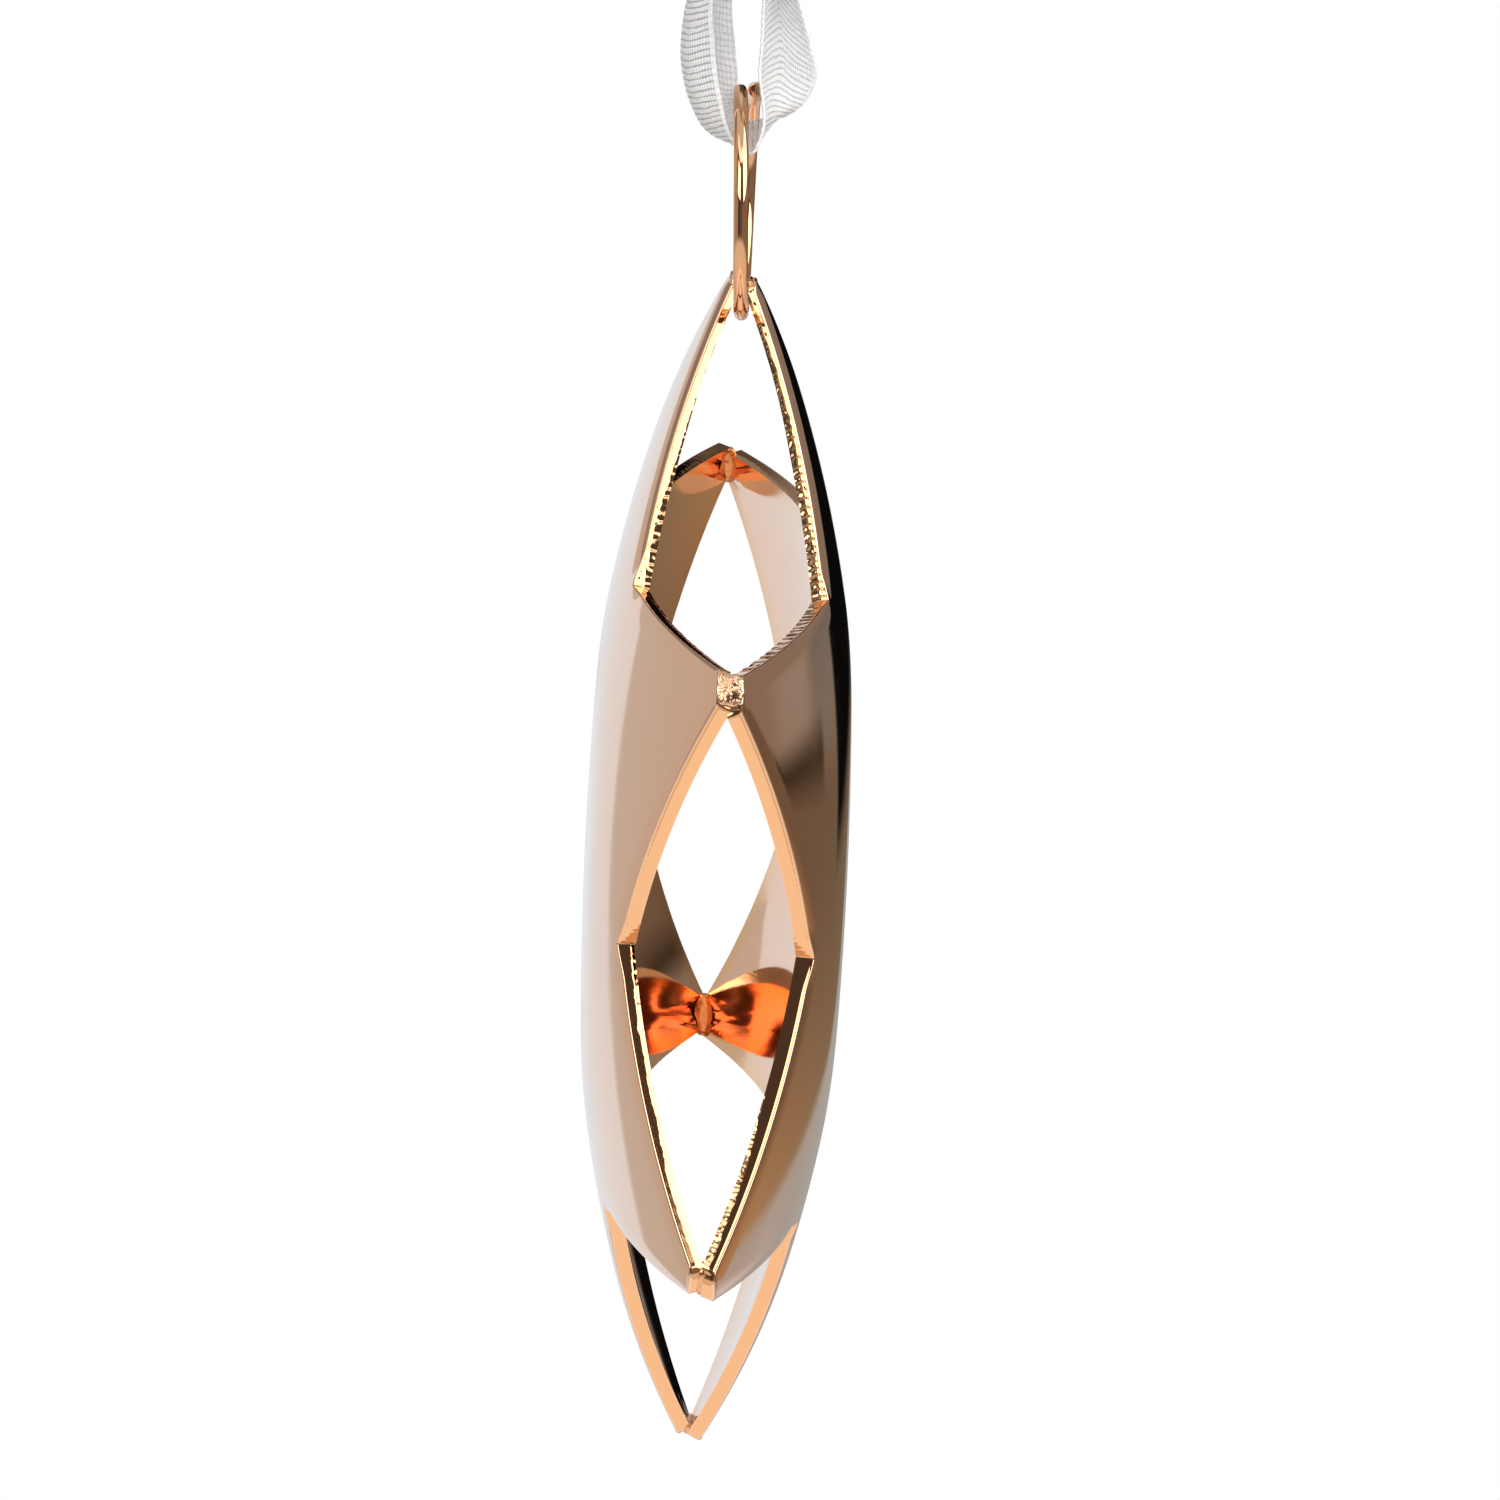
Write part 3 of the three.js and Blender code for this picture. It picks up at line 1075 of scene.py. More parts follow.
@dataclass
class SolderJoint:
    """Lump of plated solder in one tip of the star.

    Its forms list its sections from the inside of the arm outwards: distance under the tip,
    half width and half depth, in millimetres.
    """

    tip: str
    number: int
    centre: Vector
    tip_radius: float
    arms: int = 6
    sides: int = 40
    lump_height: float = 0.08 * MM
    lump_pitch: float = 0.3 * MM
    lump_rise: float = 0.7
    lump_seed: tuple[float, float, float] = (3.7, 1.3, 0.4)
    calm_share: float = 0.2
    squareness: float = 3.2
    round_nose: Triples = (
        (1.42, 0.30, 0.20), (1.34, 0.52, 0.40), (1.15, 0.66, 0.50),
    )
    proud_cap: Triples = (
        (0.7, 0.80, 0.40), (0.45, 0.86, 0.36), (0.2, 0.92, 0.46), (0.02, 0.96, 0.57), (-0.08, 0.95, 0.62),
        (-0.15, 0.88, 0.56), (-0.19, 0.70, 0.42), (-0.21, 0.40, 0.22),
    )
    filled: Triples = (
        (0.98, 0.25, 0.14), (0.95, 0.55, 0.32), (0.84, 0.72, 0.40), (0.6, 0.80, 0.42), (0.3, 0.90, 0.50),
        (0.05, 0.97, 0.62), (-0.15, 1.00, 0.76), (-0.3, 1.00, 0.86), (-0.4, 0.94, 0.84), (-0.46, 0.78, 0.70),
        (-0.49, 0.50, 0.45), (-0.5, 0.25, 0.20),
    )
    flush: Triples = (
        (0.78, 0.50, 0.12), (0.76, 1.00, 0.26), (0.68, 1.34, 0.36), (0.5, 1.30, 0.38), (0.2, 1.12, 0.36),
        (0.06, 1.02, 0.34), (-0.05, 0.90, 0.30), (-0.1, 0.66, 0.22), (-0.12, 0.34, 0.12),
    )
    hidden: Triples = (
        (0.68, 0.50, 0.22), (0.69, 1.10, 0.44), (0.66, 1.46, 0.52), (0.4, 1.40, 0.44), (0.1, 1.20, 0.34),
        (-0.1, 1.05, 0.30), (-0.2, 0.90, 0.26), (-0.26, 0.60, 0.20), (-0.28, 0.30, 0.10),
    )

    def build(self, material: bpy.types.Material) -> bpy.types.Object:
        """Model the lump row by row along its arm.

        Args:
            material: Its finish.

        Returns:
            The finished piece.
        """
        bm = bmesh.new()
        made = bmesh.ops.create_circle(bm, cap_ends=True, segments=self.sides, radius=1.0)
        ring = made["verts"]
        faces = bm.faces[:]
        for index, (below, half_width, half_depth) in enumerate(self._rows()):
            if index:
                geom = bmesh.ops.extrude_face_region(bm, geom=faces)["geom"]
                if index > 1:
                    bmesh.ops.delete(bm, geom=faces, context="FACES_ONLY")
                ring = [g for g in geom if isinstance(g, bmesh.types.BMVert)]
                faces = [g for g in geom if isinstance(g, bmesh.types.BMFace)]
            for place, vert in enumerate(ring):
                angle = FULL_TURN * place / self.sides
                vert.co = self._skin(angle, below * MM, half_width * MM, half_depth * MM)
        turn_mesh(bm, FULL_TURN * self.number / self.arms, "Y")
        move_mesh(bm, self.centre)
        bmesh.ops.recalc_face_normals(bm, faces=bm.faces[:])
        piece = finish_mesh(f"solder_{self.tip}", bm, material)
        settle(piece, Body.STAR, Slot.SOLDER, f"tip_joint_{self.tip}")
        return piece

    def _rows(self) -> Triples:
        """Pick the form of this tip's lump.

        Returns:
            Its sections.
        """
        if self.tip == "top":
            return self.round_nose + self.proud_cap
        if self.tip in LUMPY_TIPS:
            return self.filled
        return self.hidden if self.tip in FAR_TIPS else self.flush

    def _skin(self, angle: float, below: float, half_width: float, half_depth: float) -> Vector:
        """Place one point of the lumpy skin, in the top arm.

        Args:
            angle: Angle round the arm.
            below: Distance under the tip.
            half_width: Half width across the arm.
            half_depth: Half depth between the shells.

        Returns:
            The point, from the star's middle.
        """
        power = 2.0 / self.squareness
        aside = math.copysign(abs(math.cos(angle)) ** power, math.cos(angle))
        deep = math.copysign(abs(math.sin(angle)) ** power, math.sin(angle))
        point = Vector((aside * half_width, deep * half_depth, self.tip_radius - below))
        apart, aside_seed, deep_seed = self.lump_seed
        seed = Vector((self.number * apart, aside_seed, deep_seed))
        lump = noise.noise(point / self.lump_pitch + seed)
        if self.tip not in LUMPY_TIPS:
            lump *= self.calm_share
        out = Vector((math.cos(angle), math.sin(angle), self.lump_rise))
        return point + out * lump * self.lump_height


@dataclass
class JumpRing:
    """Round wire ring, cut at the top, with its ends sprung sideways."""

    finish: CopperFinish
    foot: float
    outer: float = 15.2 * MM
    wire: float = 0.95 * MM
    end_offset: float = 1.0 * MM
    cut: float = 0.35 * MM
    lean: float = math.radians(1.0)
    aside: float = -0.04 * MM
    sides: int = 32
    steps: int = 240
    end_ease: float = 0.06 * MM

    def build(self) -> bpy.types.Object:
        """Spin the wire's section round the ring.

        Returns:
            The finished piece.
        """
        bm = bmesh.new()
        radius = (self.outer - self.wire) / 2
        opening = self.cut / radius
        bmesh.ops.create_circle(bm, cap_ends=True, segments=self.sides, radius=self.wire / 2)
        turn_mesh(bm, math.pi / 2, "Y")
        move_mesh(bm, Vector((0.0, -self.end_offset / 2, radius)))
        turn_mesh(bm, opening / 2, "Y")
        section = bm.verts[:] + bm.edges[:] + bm.faces[:]
        bmesh.ops.spin(
            bm, geom=section, cent=(0, 0, 0), axis=(0, 1, 0), dvec=(0.0, self.end_offset / self.steps, 0.0),
            angle=FULL_TURN - opening, steps=self.steps,
        )
        bmesh.ops.holes_fill(bm, edges=[e for e in bm.edges if e.is_boundary], sides=self.sides)
        caps = [f for f in bm.faces if len(f.verts) == self.sides]
        bmesh.ops.bevel(
            bm, geom=[e for f in caps for e in f.edges], offset=self.end_ease, segments=2,
            affect="EDGES", profile=0.5, material=-1,
        )
        move_mesh(bm, Vector((0.0, 0.0, radius)))
        turn_mesh(bm, self.lean, "X")
        move_mesh(bm, Vector((0.0, self.aside, self.foot)))
        bmesh.ops.recalc_face_normals(bm, faces=bm.faces[:])
        piece = finish_mesh("jump_ring", bm, self.finish.material())
        settle(piece, Body.RING, Slot.WIRE, "hanging_ring")
        return piece


@dataclass
class RibbonSection:
    """Cross-section of the ribbon: a thin web between two corded edges."""

    width: float = 6.35 * MM
    web: float = 0.14 * MM
    cord: float = 0.24 * MM
    cord_sweep: float = 300.0
    web_steps: int = 14
    cord_steps: int = 8

    def outline(self) -> list[tuple[float, float, float]]:
        """Walk round the section.

        Returns:
            Points as share of the width, height and corded share, once round.
        """
        edge = self.cord / 2 / self.width
        start = self.cord_sweep / 2
        points = []
        for step in range(self.web_steps + 1):
            share = 2 * edge + (1 - 4 * edge) * step / self.web_steps
            points.append((share, self.web / 2, 0.0))
        for step in range(1, self.cord_steps):
            angle = math.radians(start - self.cord_sweep * step / self.cord_steps)
            points.append((1 - edge + edge * math.cos(angle), self.cord / 2 * math.sin(angle), 1.0))
        for step in range(self.web_steps + 1):
            share = 1 - 2 * edge - (1 - 4 * edge) * step / self.web_steps
            points.append((share, -self.web / 2, 0.0))
        for step in range(1, self.cord_steps):
            angle = math.radians(start - 180.0 - self.cord_sweep * step / self.cord_steps)
            points.append((edge + edge * math.cos(angle), self.cord / 2 * math.sin(angle), 1.0))
        return points


@dataclass
class RibbonStrip:
    """A length of ribbon swept through guide points, in millimetres, of its two edges and its middle."""

    name: str
    section: RibbonSection
    near: Triples
    middle: Triples
    far: Triples
    mark_count: int = 400
    step: float = 0.073 * MM
    fewest_rows: int = 8
    weld: float = 0.0005 * MM
    rib_height: float = 0.018 * MM
    twist_height: float = 0.02 * MM
    twist_ribs: float = 1.5
    probe_along: float = 0.002
    probe_across: float = 0.02
    first_leg: tuple[float, float] = (0.36, 0.46)
    last_leg: tuple[float, float] = (0.54, 0.66)
    sag: float = 0.4 * MM
    crest: float = 0.6
    crest_slopes: tuple[float, float] = (-0.3, 0.75)

    def __post_init__(self) -> None:
        """Scale the guides to metres and measure along the middle one."""
        guides = (self.near, self.middle, self.far)
        self.lines = [[Vector(point) * MM for point in guide] for guide in guides]
        shares = [mark / self.mark_count for mark in range(self.mark_count + 1)]
        places = [spline_point(self.lines[1], share) for share in shares]
        steps = [(b - a).length for a, b in zip(places, places[1:])]
        self.marks = [0.0, *accumulate(steps)]

    def length(self) -> float:
        """Length of the middle line."""
        return self.marks[-1]

    def even(self, share: float) -> float:
        """Turn a share of the length into a share of the guides' spans.

        Args:
            share: Share of the strip's length.

        Returns:
            The share to evaluate the guides at.
        """
        wanted = share * self.length()
        mark = min(max(bisect_right(self.marks, wanted) - 1, 0), self.mark_count - 1)
        step = (wanted - self.marks[mark]) / (self.marks[mark + 1] - self.marks[mark])
        return (mark + step) / self.mark_count

    def point(self, along: float, across: float) -> Vector:
        """Evaluate the strip's middle surface.

        Args:
            along: Share of the length.
            across: Share of the width, from the near edge.

        Returns:
            The point there.
        """
        near, middle, far = (spline_point(line, along) for line in self.lines)
        first = (middle - near).length
        crease = first / (first + (far - middle).length)
        to_near = (across - crease) * (across - 1.0) / crease
        to_middle = across * (across - 1.0) / (crease * (crease - 1.0))
        to_far = across * (across - crease) / (1.0 - crease)
        return near * to_near + middle * to_middle + far * to_far

    def build(self, rib_pitch: float, material: bpy.types.Material) -> bpy.types.Object:
        """Model the strip.

        Args:
            rib_pitch: Pitch of the ribs.
            material: Its finish.

        Returns:
            The piece, not yet on a body.
        """
        outline = self.section.outline()
        rows = max(self.fewest_rows, round(self.length() / self.step))
        bm = bmesh.new()
        uv = bm.loops.layers.uv.new("weave")
        selvage = bm.verts.layers.float.new("selvage")
        bmesh.ops.create_grid(bm, x_segments=rows, y_segments=len(outline), size=0.5)
        places = {}
        for vert in bm.verts:
            along = vert.co.x + 0.5
            turn = round((vert.co.y + 0.5) * len(outline))
            share, height, corded = outline[turn % len(outline)]
            places[vert] = (along, share)
            vert[selvage] = corded
            vert.co = self._skin(along, share, height, corded, rib_pitch)
        for face in bm.faces:
            for loop in face.loops:
                along, share = places[loop.vert]
                run = along * self.length() + self._slip(along, share)
                loop[uv].uv = (share * self.section.width, run)
        bmesh.ops.remove_doubles(bm, verts=bm.verts[:], dist=self.weld)
        bmesh.ops.holes_fill(bm, edges=[e for e in bm.edges if e.is_boundary], sides=len(outline))
        bmesh.ops.recalc_face_normals(bm, faces=bm.faces[:])
        return finish_mesh(self.name, bm, material)

    def _slip(self, along: float, share: float) -> float:
        """Work out how far the weft has slipped: it sags on the first leg and is pointed on the last.

        Args:
            along: Share of the length.
            share: Share of the width.

        Returns:
            The distance along the ribbon.
        """
        on_first = 1.0 - smooth_step(*self.first_leg, along)
        on_last = smooth_step(*self.last_leg, along)
        sag = -self.sag * math.sin(FULL_TURN * share)
        past = share - self.crest
        before_slope, after_slope = self.crest_slopes
        point = self.section.width * ((after_slope if past > 0.0 else before_slope) * past)
        return sag * on_first + point * on_last

    def _skin(self, along: float, share: float, height: float, corded: float, pitch: float) -> Vector:
        """Place one point of the ribbon's skin.

        Args:
            along: Share of the length.
            share: Share of the width.
            height: Height over the middle surface.
            corded: 1 on a corded edge, 0 on the web.
            pitch: Pitch of the ribs.

        Returns:
            The point.
        """
        place = self.even(along)
        here = self.point(place, share)
        ahead, behind = min(place + self.probe_along, 1.0), max(place - self.probe_along, 0.0)
        run = self.point(ahead, share) - self.point(behind, share)
        right, left = min(share + self.probe_across, 1.0), max(share - self.probe_across, 0.0)
        wide = self.point(place, right) - self.point(place, left)
        normal = run.cross(wide).normalized()
        length = self.length()
        rib = math.sin(FULL_TURN * (along * length + self._slip(along, share)) / pitch)
        ribbed = self.rib_height * rib * (1.0 - corded)
        twist = math.sin(FULL_TURN * along * length / (pitch * self.twist_ribs))
        return here + normal * (height + ribbed + self.twist_height * twist * corded)


@dataclass
class RibbonLoop:
    """The hanging ribbon, from its knot through the ring and back."""

    finish: RibbonFinish
    section: RibbonSection = field(default_factory=RibbonSection)
    near: Triples = (
        (2.5, -0.55, 0.6), (2.6, -1.2, -3.4), (2.4, -2.1, -7.0), (2.0, -2.78, -10.7), (2.0, -2.55, -13.65),
        (2.3, -2.29, -15.44), (2.75, -1.95, -16.95), (3.2, -1.55, -18.3), (3.9, -0.95, -19.45),
        (4.5, 0.05, -19.98), (4.4, 0.5, -19.25), (4.2, 0.75, -18.2), (3.8, 0.72, -17.0), (3.0, 0.39, -15.18),
        (2.5, 0.44, -13.41), (2.2, 0.43, -10.52), (2.6, 0.5, -7.0), (2.6, 0.5, -3.4), (2.5, 0.45, 0.6),
    )
    middle: Triples = (
        (0.0, -0.85, 0.6), (0.3, -2.0, -3.6), (0.4, -3.3, -7.3), (0.5, -4.35, -11.06), (0.5, -4.59, -14.04),
        (0.6, -4.38, -15.87), (1.0, -3.9, -17.4), (1.6, -2.95, -18.95), (2.2, -1.6, -19.6),
        (1.8, -0.1, -19.45), (1.5, 0.8, -19.05), (0.6, 1.6, -18.4), (-0.4, 2.2, -17.4), (-1.0, 2.15, -15.89),
        (-1.2, 2.06, -14.06), (-2.0, 1.73, -11.2), (-0.6, 1.9, -7.2), (0.0, 1.2, -3.5), (0.0, 0.75, 0.6),
    )
    far: Triples = (
        (-2.5, -0.55, 0.6), (-2.4, -0.95, -3.5), (-2.1, -1.35, -7.2), (-1.6, -1.55, -11.3),
        (-1.6, -1.22, -14.3), (-1.4, -0.98, -16.1), (-1.4, -0.95, -17.4), (-1.5, -0.8, -18.3),
        (-1.6, -0.5, -18.9),
        (-1.6, 0.0, -19.1), (-1.4, 0.8, -18.9), (-1.1, 2.1, -18.5), (-0.7, 3.4, -17.45), (-0.5, 4.04, -15.7),
        (-0.5, 3.63, -13.85), (-0.5, 2.73, -10.93), (-2.2, 1.7, -7.1), (-2.6, 0.9, -3.5), (-2.5, 0.45, 0.6),
    )

    def build(self, material: bpy.types.Material, knot: bpy.types.Object) -> bpy.types.Object:
        """Args:
            material: Its finish.
            knot: The knot at its end; not used.

        Returns:
            The finished piece.
        """
        strip = RibbonStrip("ribbon", self.section, self.near, self.middle, self.far)
        piece = strip.build(self.finish.rib_pitch, material)
        settle(piece, Body.RIBBON, Slot.RIBBON, "ribbon_loop")
        return piece


@dataclass
class RibbonKnot:
    """Overhand knot of the two ends of the ribbon, with its tails."""

    finish: RibbonFinish
    low: Vector
    high: Vector
    turns: int = 180
    sides: int = 20
    half_width: float = 1.55 * MM
    half_thickness: float = 0.62 * MM
    tail_width: float = 5.6 * MM
    tail_route: tuple[tuple[float, float], ...] = (
        (0.7, -1.5), (1.5, 0.5), (3.0, 2.3), (5.0, 3.5), (7.0, 3.7),
    )
    tail_crown: float = 0.35
    height: float = 4.8 * MM
    half_depth: float = 1.5 * MM
    inset: float = 0.8
    fold: float = 0.12
    line_length: float = 60.0 * MM
    probe: float = 0.002
    weld: float = 0.002 * MM

    def build(self, material: bpy.types.Material) -> bpy.types.Object:
        """Model the knot and its two tails.

        Args:
            material: Its finish.

        Returns:
            The knot, without its tails.
        """
        bm = bmesh.new()
        uv = bm.loops.layers.uv.new("weave")
        bm.verts.layers.float.new("selvage")
        bmesh.ops.create_grid(bm, x_segments=self.turns, y_segments=self.sides, size=0.5)
        places = {}
        for vert in bm.verts:
            places[vert] = (vert.co.x + 0.5, vert.co.y + 0.5)
            vert.co = self._wrap(*places[vert])
        for face in bm.faces:
            for loop in face.loops:
                along, around = places[loop.vert]
                loop[uv].uv = (around * 4.0 * self.half_width, along * self.line_length)
        bmesh.ops.remove_doubles(bm, verts=bm.verts[:], dist=self.weld)
        bmesh.ops.recalc_face_normals(bm, faces=bm.faces[:])
        piece = finish_mesh("ribbon_knot_wraps", bm, material)
        settle(piece, Body.RIBBON, Slot.RIBBON, "ribbon_knot")
        for side in (-1.0, 1.0):
            settle(self._tail(side, material), Body.RIBBON, Slot.RIBBON)
        return piece

    def _centre(self, along: float) -> Vector:
        """Follow the knot's closed line, a trefoil.

        Args:
            along: Share of one round.

        Returns:
            The point there.
        """
        turn = FULL_TURN * along
        reach = 2.0 + math.cos(3.0 * turn)
        middle_height = self.low.z + self.height / 2
        half_x = (self.high.x - self.low.x) / 2 - self.half_width * self.inset
        half_z = self.height / 2 - self.half_thickness
        return Vector((
            half_x * reach / 3.0 * math.cos(2.0 * turn),
            self.half_depth * math.sin(3.0 * turn),
            middle_height + half_z * reach / 3.0 * math.sin(2.0 * turn),
        ))

    def _wrap(self, along: float, around: float) -> Vector:
        """Place one point of the wrapped ribbon's skin.

        Args:
            along: Share of the knot's line.
            around: Share of the way round the ribbon's section.

        Returns:
            The point.
        """
        here = self._centre(along)
        run = (self._centre(along + self.probe) - self._centre(along - self.probe)).normalized()
        middle = Vector((0.0, 0.0, self.low.z + self.height / 2))
        out = here - middle
        out = (out - run * out.dot(run)).normalized()
        wide = run.cross(out)
        angle = FULL_TURN * around
        fold = 1.0 + self.fold * math.sin(3.0 * angle + 2.0 * FULL_TURN * along)
        across = wide * math.cos(angle) * self.half_width
        return here + across + out * math.sin(angle) * self.half_thickness * fold

    def _tail(self, side: float, material: bpy.types.Material) -> bpy.types.Object:
        """Model one tail.

        Args:
            side: Sign of the Y that it points to.
            material: Its finish.

        Returns:
            The tail.
        """
        top = self.low.z / MM + self.height / MM
        half = self.tail_width / 2 / MM
        line = [(side * y, top + z) for y, z in self.tail_route]
        near = tuple((half, y, z) for y, z in line)
        middle = tuple((0.0, y, z + self.tail_crown) for y, z in line)
        far = tuple((-half, y, z) for y, z in line)
        section = RibbonSection(width=self.tail_width)
        name = "ribbon_tail_left" if side < 0.0 else "ribbon_tail_right"
        return RibbonStrip(name, section, near, middle, far).build(self.finish.rib_pitch, material)


@dataclass(frozen=True)
class StudioPatch:
    """One part of the studio that the metal mirrors, by direction in degrees."""

    name: str
    turn: tuple[float, float]
    rise: tuple[float, float]
    colour: Colour
    soft: float = 1.0
    slant: float = 0.0


@dataclass(frozen=True)
class Studio:
    """Plain white cove with grey sides, a dark flag and soft boxes.

    Turn is 0 straight behind the star as the photograph sees it, and grows to the right.
    """

    cove: Colour = COVE_WHITE
    patches: tuple[StudioPatch, ...] = (
        StudioPatch("cove edge", (-27.0, -20.0), (-91.0, 91.0), (0.69, 0.75, 0.79), 4.0),
        StudioPatch("left wall", (-110.0, -26.0), (-91.0, 91.0), (0.575, 0.555, 0.505), 0.9),
        StudioPatch("right wall", (3.5, 110.0), (-91.0, 91.0), (0.25, 0.215, 0.17), 0.8),
        StudioPatch("right wall light", (30.0, 40.5), (-13.3, -10.0), (0.32, 0.30, 0.265), 3.0, -0.14),
        StudioPatch("right wall shade", (3.5, 29.5), (-13.3, -6.0), (0.18, 0.17, 0.155), 2.5, -0.14),
        StudioPatch("right ground", (3.5, 110.0), (-91.0, -13.9), (0.16, 0.12, 0.08), 1.0, -0.14),
        StudioPatch("dark corner", (26.5, 44.0), (-14.6, -13.4), (0.05, 0.035, 0.02), 0.7, -0.14),
        StudioPatch("right ground near", (3.5, 110.0), (-91.0, -18.0), (0.44, 0.295, 0.154), 6.0),
        StudioPatch("table edge", (-3.0, 110.0), (-91.0, -12.0), (0.40, 0.394, 0.373), 0.4, 0.286),
        StudioPatch("table near", (21.0, 110.0), (-91.0, -15.0), (0.64, 0.65, 0.67), 4.0, 0.286),
        StudioPatch("above the cove", (-110.0, 110.0), (9.0, 91.0), (0.26, 0.25, 0.24), 2.0),
        StudioPatch("above the flag", (-9.0, 30.0), (17.0, 36.0), (0.10, 0.085, 0.065), 2.0),
        StudioPatch("dark flag", (3.8, 20.3), (-13.0, 17.5), (0.003, 0.003, 0.003), 0.6),
        StudioPatch("camera room left", (-181.0, -110.0), (-91.0, 91.0), (0.07, 0.06, 0.06), 6.0),
        StudioPatch("camera room right", (110.0, 181.0), (-91.0, 91.0), (0.07, 0.06, 0.06), 6.0),
        StudioPatch("room floor right", (70.0, 165.0), (-26.0, 8.0), (0.22, 0.19, 0.17), 4.0),
        StudioPatch("room floor left", (-135.0, -70.0), (-26.0, 8.0), (0.35, 0.34, 0.33), 5.0),
        StudioPatch("room wall left", (-104.0, -70.0), (4.0, 60.0), (0.5, 0.48, 0.45), 4.0),
        StudioPatch("floor left", (-181.0, -70.0), (-91.0, -26.0), (0.75, 0.73, 0.68), 5.0),
        StudioPatch("floor right", (70.0, 181.0), (-91.0, -26.0), (0.75, 0.73, 0.68), 5.0),
        StudioPatch("left box", (-171.0, -128.0), (12.0, 42.5), (3.0, 2.95, 2.8), 1.2),
        StudioPatch("right box", (74.0, 142.0), (10.0, 58.0), (3.0, 2.95, 2.8), 1.2),
        StudioPatch("back ceiling", (-100.0, 60.0), (40.0, 91.0), (0.65, 0.65, 0.64), 4.0),
        StudioPatch("top panel left", (-181.0, -100.0), (48.5, 91.0), (1.7, 1.7, 1.65), 1.5),
        StudioPatch("top panel right", (140.0, 181.0), (48.5, 91.0), (1.7, 1.7, 1.65), 1.5),
        StudioPatch("ceiling", (-181.0, 181.0), (62.0, 91.0), (0.65, 0.65, 0.64), 4.0),
    )

    def light(self) -> None:
        """Build the world: white to the camera, the studio to everything else."""
        world = bpy.data.worlds.new("studio")
        bpy.context.scene.world = world
        world.use_nodes = True
        sketch = NodeSketch(world.node_tree)
        axes = sketch.add("SeparateXYZ")
        sketch.feed(axes.inputs[0], sketch.add("TexCoord").outputs["Generated"])
        to_degrees = math.degrees(1.0)
        behind = sketch.math("MULTIPLY", axes.outputs["X"], -1.0)
        turn = sketch.math("MULTIPLY", sketch.math("ARCTAN2", axes.outputs["Y"], behind), to_degrees)
        rise = sketch.math("MULTIPLY", sketch.math("ARCSINE", axes.outputs["Z"]), to_degrees)
        colour = self.cove
        for patch in self.patches:
            level = rise
            if patch.slant:
                level = sketch.math("ADD", rise, sketch.math("MULTIPLY", turn, patch.slant))
            sideways = sketch.window(turn, *patch.turn, patch.soft)
            upright = sketch.window(level, *patch.rise, patch.soft)
            colour = sketch.mix(sketch.math("MULTIPLY", sideways, upright), colour, patch.colour)
            colour.node.label = patch.name
        path = sketch.add("LightPath")
        seen = sketch.math("MAXIMUM", path.outputs["Is Camera Ray"], path.outputs["Is Transmission Ray"])
        shown = sketch.mix(seen, colour, (1.0, 1.0, 1.0))
        background = sketch.add("Background")
        sketch.feed(background.inputs["Color"], shown)
        leave = sketch.add("OutputWorld")
        sketch.feed(leave.inputs["Surface"], background.outputs["Background"])
        LOG.info("studio: %d patches", len(self.patches))


@dataclass(frozen=True)
class BackCard:
    """Near edge of the white backdrop, which only the metal mirrors."""

    centre: Vector
    behind: float = 142.0 * MM
    sides: tuple[float, float] = (-84.0 * MM, 10.0 * MM)
    heights: tuple[float, float] = (-120.0 * MM, 20.0 * MM)
    colour: Colour = COVE_WHITE

    def build(self) -> bpy.types.Object:
        """Model the card.

        Returns:
            The card.
        """
        bm = bmesh.new()
        bmesh.ops.create_grid(bm, x_segments=1, y_segments=1, size=0.5)
        for vert in bm.verts:
            aside = self.sides[0] if vert.co.x < 0.0 else self.sides[1]
            up = self.heights[0] if vert.co.y < 0.0 else self.heights[1]
            vert.co = self.centre + Vector((-self.behind, aside, up))
        material, _, shader = blank_material("white_card")
        shader.inputs["Base Color"].default_value = (0.0, 0.0, 0.0, 1.0)
        shader.inputs["Emission Color"].default_value = (*self.colour, 1.0)
        shader.inputs["Emission Strength"].default_value = 1.0
        card = finish_mesh("back_card", bm, material)
        card.visible_camera = False
        card.visible_diffuse = False
        card.visible_transmission = False
        card.visible_shadow = False
        return card


@dataclass(frozen=True)
class SoftPanel:
    """Large soft lamp for the cloth and the floor; the metal mirrors the boxes instead."""

    target: Vector
    name: str = "front_panel"
    offset: tuple[float, float, float] = (0.55, 0.03, 0.3)
    power: float = 2.1
    size: float = 0.35

    def build(self) -> bpy.types.Object:
        """Hang the lamp and aim it.

        Returns:
            The lamp.
        """
        data = bpy.data.lights.new(self.name, "AREA")
        data.size = self.size
        data.energy = self.power
        lamp = bpy.data.objects.new(self.name, data)
        offset = Vector(self.offset)
        lamp.location = self.target + offset
        lamp.rotation_euler = offset.to_track_quat("Z", "Y").to_euler()
        lamp.visible_glossy = False
        bpy.context.scene.collection.objects.link(lamp)
        return lamp


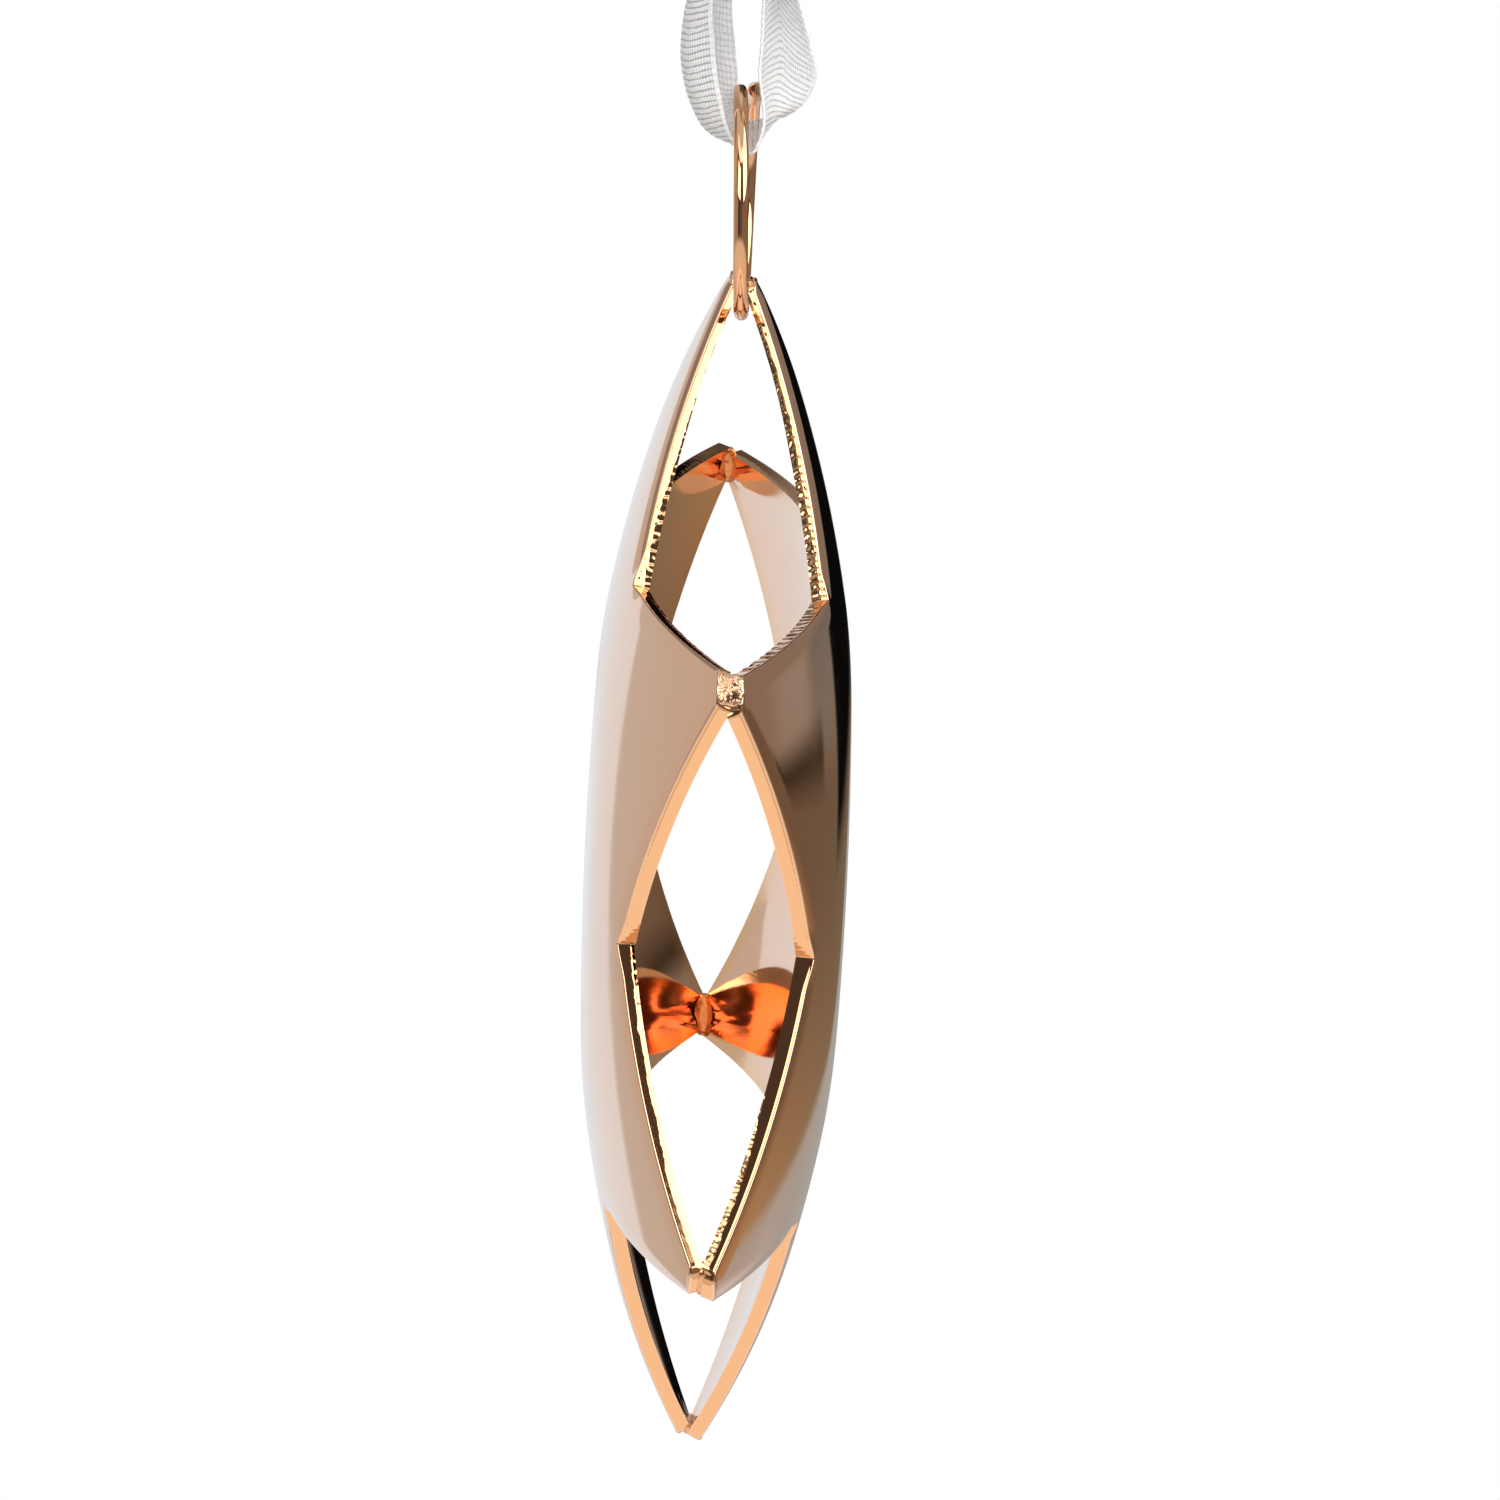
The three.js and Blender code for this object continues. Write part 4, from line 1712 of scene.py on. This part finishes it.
@dataclass(frozen=True)
class Floor:
    """Plain pale floor, well under the hanging star."""

    height: float
    radius: float = 0.2
    sides: int = 96
    colour: Colour = (0.9, 0.9, 0.9)
    rough: float = 0.9
    glow: float = 0.85

    def build(self) -> bpy.types.Object:
        """Model the floor; the camera sees it nearly white, with the star's soft shadow.

        Returns:
            The floor.
        """
        bm = bmesh.new()
        bmesh.ops.create_circle(bm, cap_ends=True, segments=self.sides, radius=self.radius)
        move_mesh(bm, Vector((0.0, 0.0, self.height)))
        material, sketch, shader = blank_material("pale_floor")
        shader.inputs["Base Color"].default_value = (*self.colour, 1.0)
        shader.inputs["Roughness"].default_value = self.rough
        path = sketch.add("LightPath")
        seen = sketch.math("MAXIMUM", path.outputs["Is Camera Ray"], path.outputs["Is Glossy Ray"])
        seen = sketch.math("MAXIMUM", seen, path.outputs["Is Transmission Ray"])
        glow = sketch.add("Emission")
        blend = sketch.add("MixShader")
        sketch.feed(blend.inputs[0], sketch.math("MULTIPLY", seen, self.glow))
        sketch.feed(blend.inputs[1], shader.outputs["BSDF"])
        sketch.feed(blend.inputs[2], glow.outputs["Emission"])
        leave = next(n for n in sketch.tree.nodes if n.type == "OUTPUT_MATERIAL")
        sketch.feed(leave.inputs["Surface"], blend.outputs["Shader"])
        floor = finish_mesh("floor", bm, material)
        return floor


@dataclass(frozen=True)
class PhotoCamera:
    """Camera at the photograph's angle, fitted to the star's outline in a frame of 1500 pixels."""

    subject: Vector
    distance: float = 970.3 * MM
    elevation: float = math.radians(14.05)
    swing: float = math.radians(-0.65)
    roll: float = math.radians(2.73)
    focal_pixels: float = 15138.0
    frame_pixels: float = 1500.0
    subject_pixel: tuple[float, float] = (715.8, 860.1)
    sensor: float = 36.0
    clip_start: float = 0.01

    def place(self) -> bpy.types.Object:
        """Create the camera, aimed so that the star falls on its pixel.

        Returns:
            The camera.
        """
        flat = math.cos(self.elevation)
        back = Vector((math.cos(self.swing) * flat, math.sin(self.swing) * flat, math.sin(self.elevation)))
        right = Vector((0.0, 0.0, 1.0)).cross(back).normalized()
        up = back.cross(right)
        turned = Matrix.Rotation(self.roll, 3, back)
        right, up = turned @ right, turned @ up
        aside = self.frame_pixels / 2 - self.subject_pixel[0]
        above = self.subject_pixel[1] - self.frame_pixels / 2
        aim = (right * aside + up * above - back * self.focal_pixels).normalized()
        right = aim.cross(up).normalized()
        up = right.cross(aim)
        data = bpy.data.cameras.new("photo_camera")
        data.sensor_width = self.sensor
        data.lens = self.focal_pixels / self.frame_pixels * self.sensor
        data.clip_start = self.clip_start
        camera = bpy.data.objects.new("photo_camera", data)
        place = Matrix((right, up, -aim)).transposed().to_4x4()
        place.translation = self.subject + back * self.distance
        camera.matrix_world = place
        bpy.context.scene.collection.objects.link(camera)
        bpy.context.scene.camera = camera
        return camera


def build_ribbon() -> None:
    """Build the ribbon, its knot and its tails."""
    finish = RibbonFinish("white_ribbon_weave")
    material = finish.material()
    low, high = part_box("ribbon_knot")
    knot = RibbonKnot(finish, low, high).build(material)
    RibbonLoop(finish).build(material, knot)


def build_star(centre: Vector, tip_radius: float) -> None:
    """Build the two shells and the solder in their tips.

    Args:
        centre: Middle of the star.
        tip_radius: Distance from there to a tip.
    """
    for side in ShellSide:
        finish = CopperFinish(f"polished_copper_{side.name.lower()}")
        StarShell(side, centre, tip_radius, finish, slide=-side.value * SHELL_SLIDE).build()
    calm = {"smooth_rough": 0.28, "coarse_rough": 0.4, "pit_height": 0.01 * MM}
    lumpy = SolderFinish("lumpy_solder").material()
    flush = SolderFinish(
        "flush_solder", bright=(0.91, 0.48, 0.24), dull=(0.75, 0.35, 0.16), **calm,
    ).material()
    # The solder in the far tips, deep inside the star, is painted darker and redder: painted shade, with a
    # painted orange glow from the shells around it.
    deep = SolderFinish(
        "deep_solder_painted_shade", bright=(0.84, 0.34, 0.13), dull=(0.6, 0.2, 0.08), **calm,
    ).material()
    finishes = dict.fromkeys(LUMPY_TIPS, lumpy) | dict.fromkeys(FAR_TIPS, deep)
    tips = ("top", "upper_right", "lower_right", "bottom", "lower_left", "upper_left")
    for number, tip in enumerate(tips):
        SolderJoint(tip, number, centre, tip_radius).build(finishes.get(tip, flush))


def main() -> None:
    """Build the stage and the ornament."""
    logging.basicConfig(level=logging.INFO, format="%(message)s")
    bpy.context.scene.view_settings.view_transform = "Standard"
    low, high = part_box("front_shell")
    tip_radius = (high.z - low.z) / 2
    centre = Vector((0.0, 0.0, (high.z + low.z) / 2))
    PhotoCamera(centre).place()
    build_ribbon()
    build_star(centre, tip_radius)
    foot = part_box("hanging_ring")[0].z + JumpRing.wire / 2
    wire_finish = CopperFinish("polished_wire", face=(0.95, 0.53, 0.29), face_rough=0.05)
    JumpRing(wire_finish, foot).build()
    Studio().light()
    Floor(centre.z - FLOOR_DROP).build()
    BackCard(centre).build()
    SoftPanel(Vector((0.0, 0.0, foot))).build()


if __name__ == "__main__":
    main()
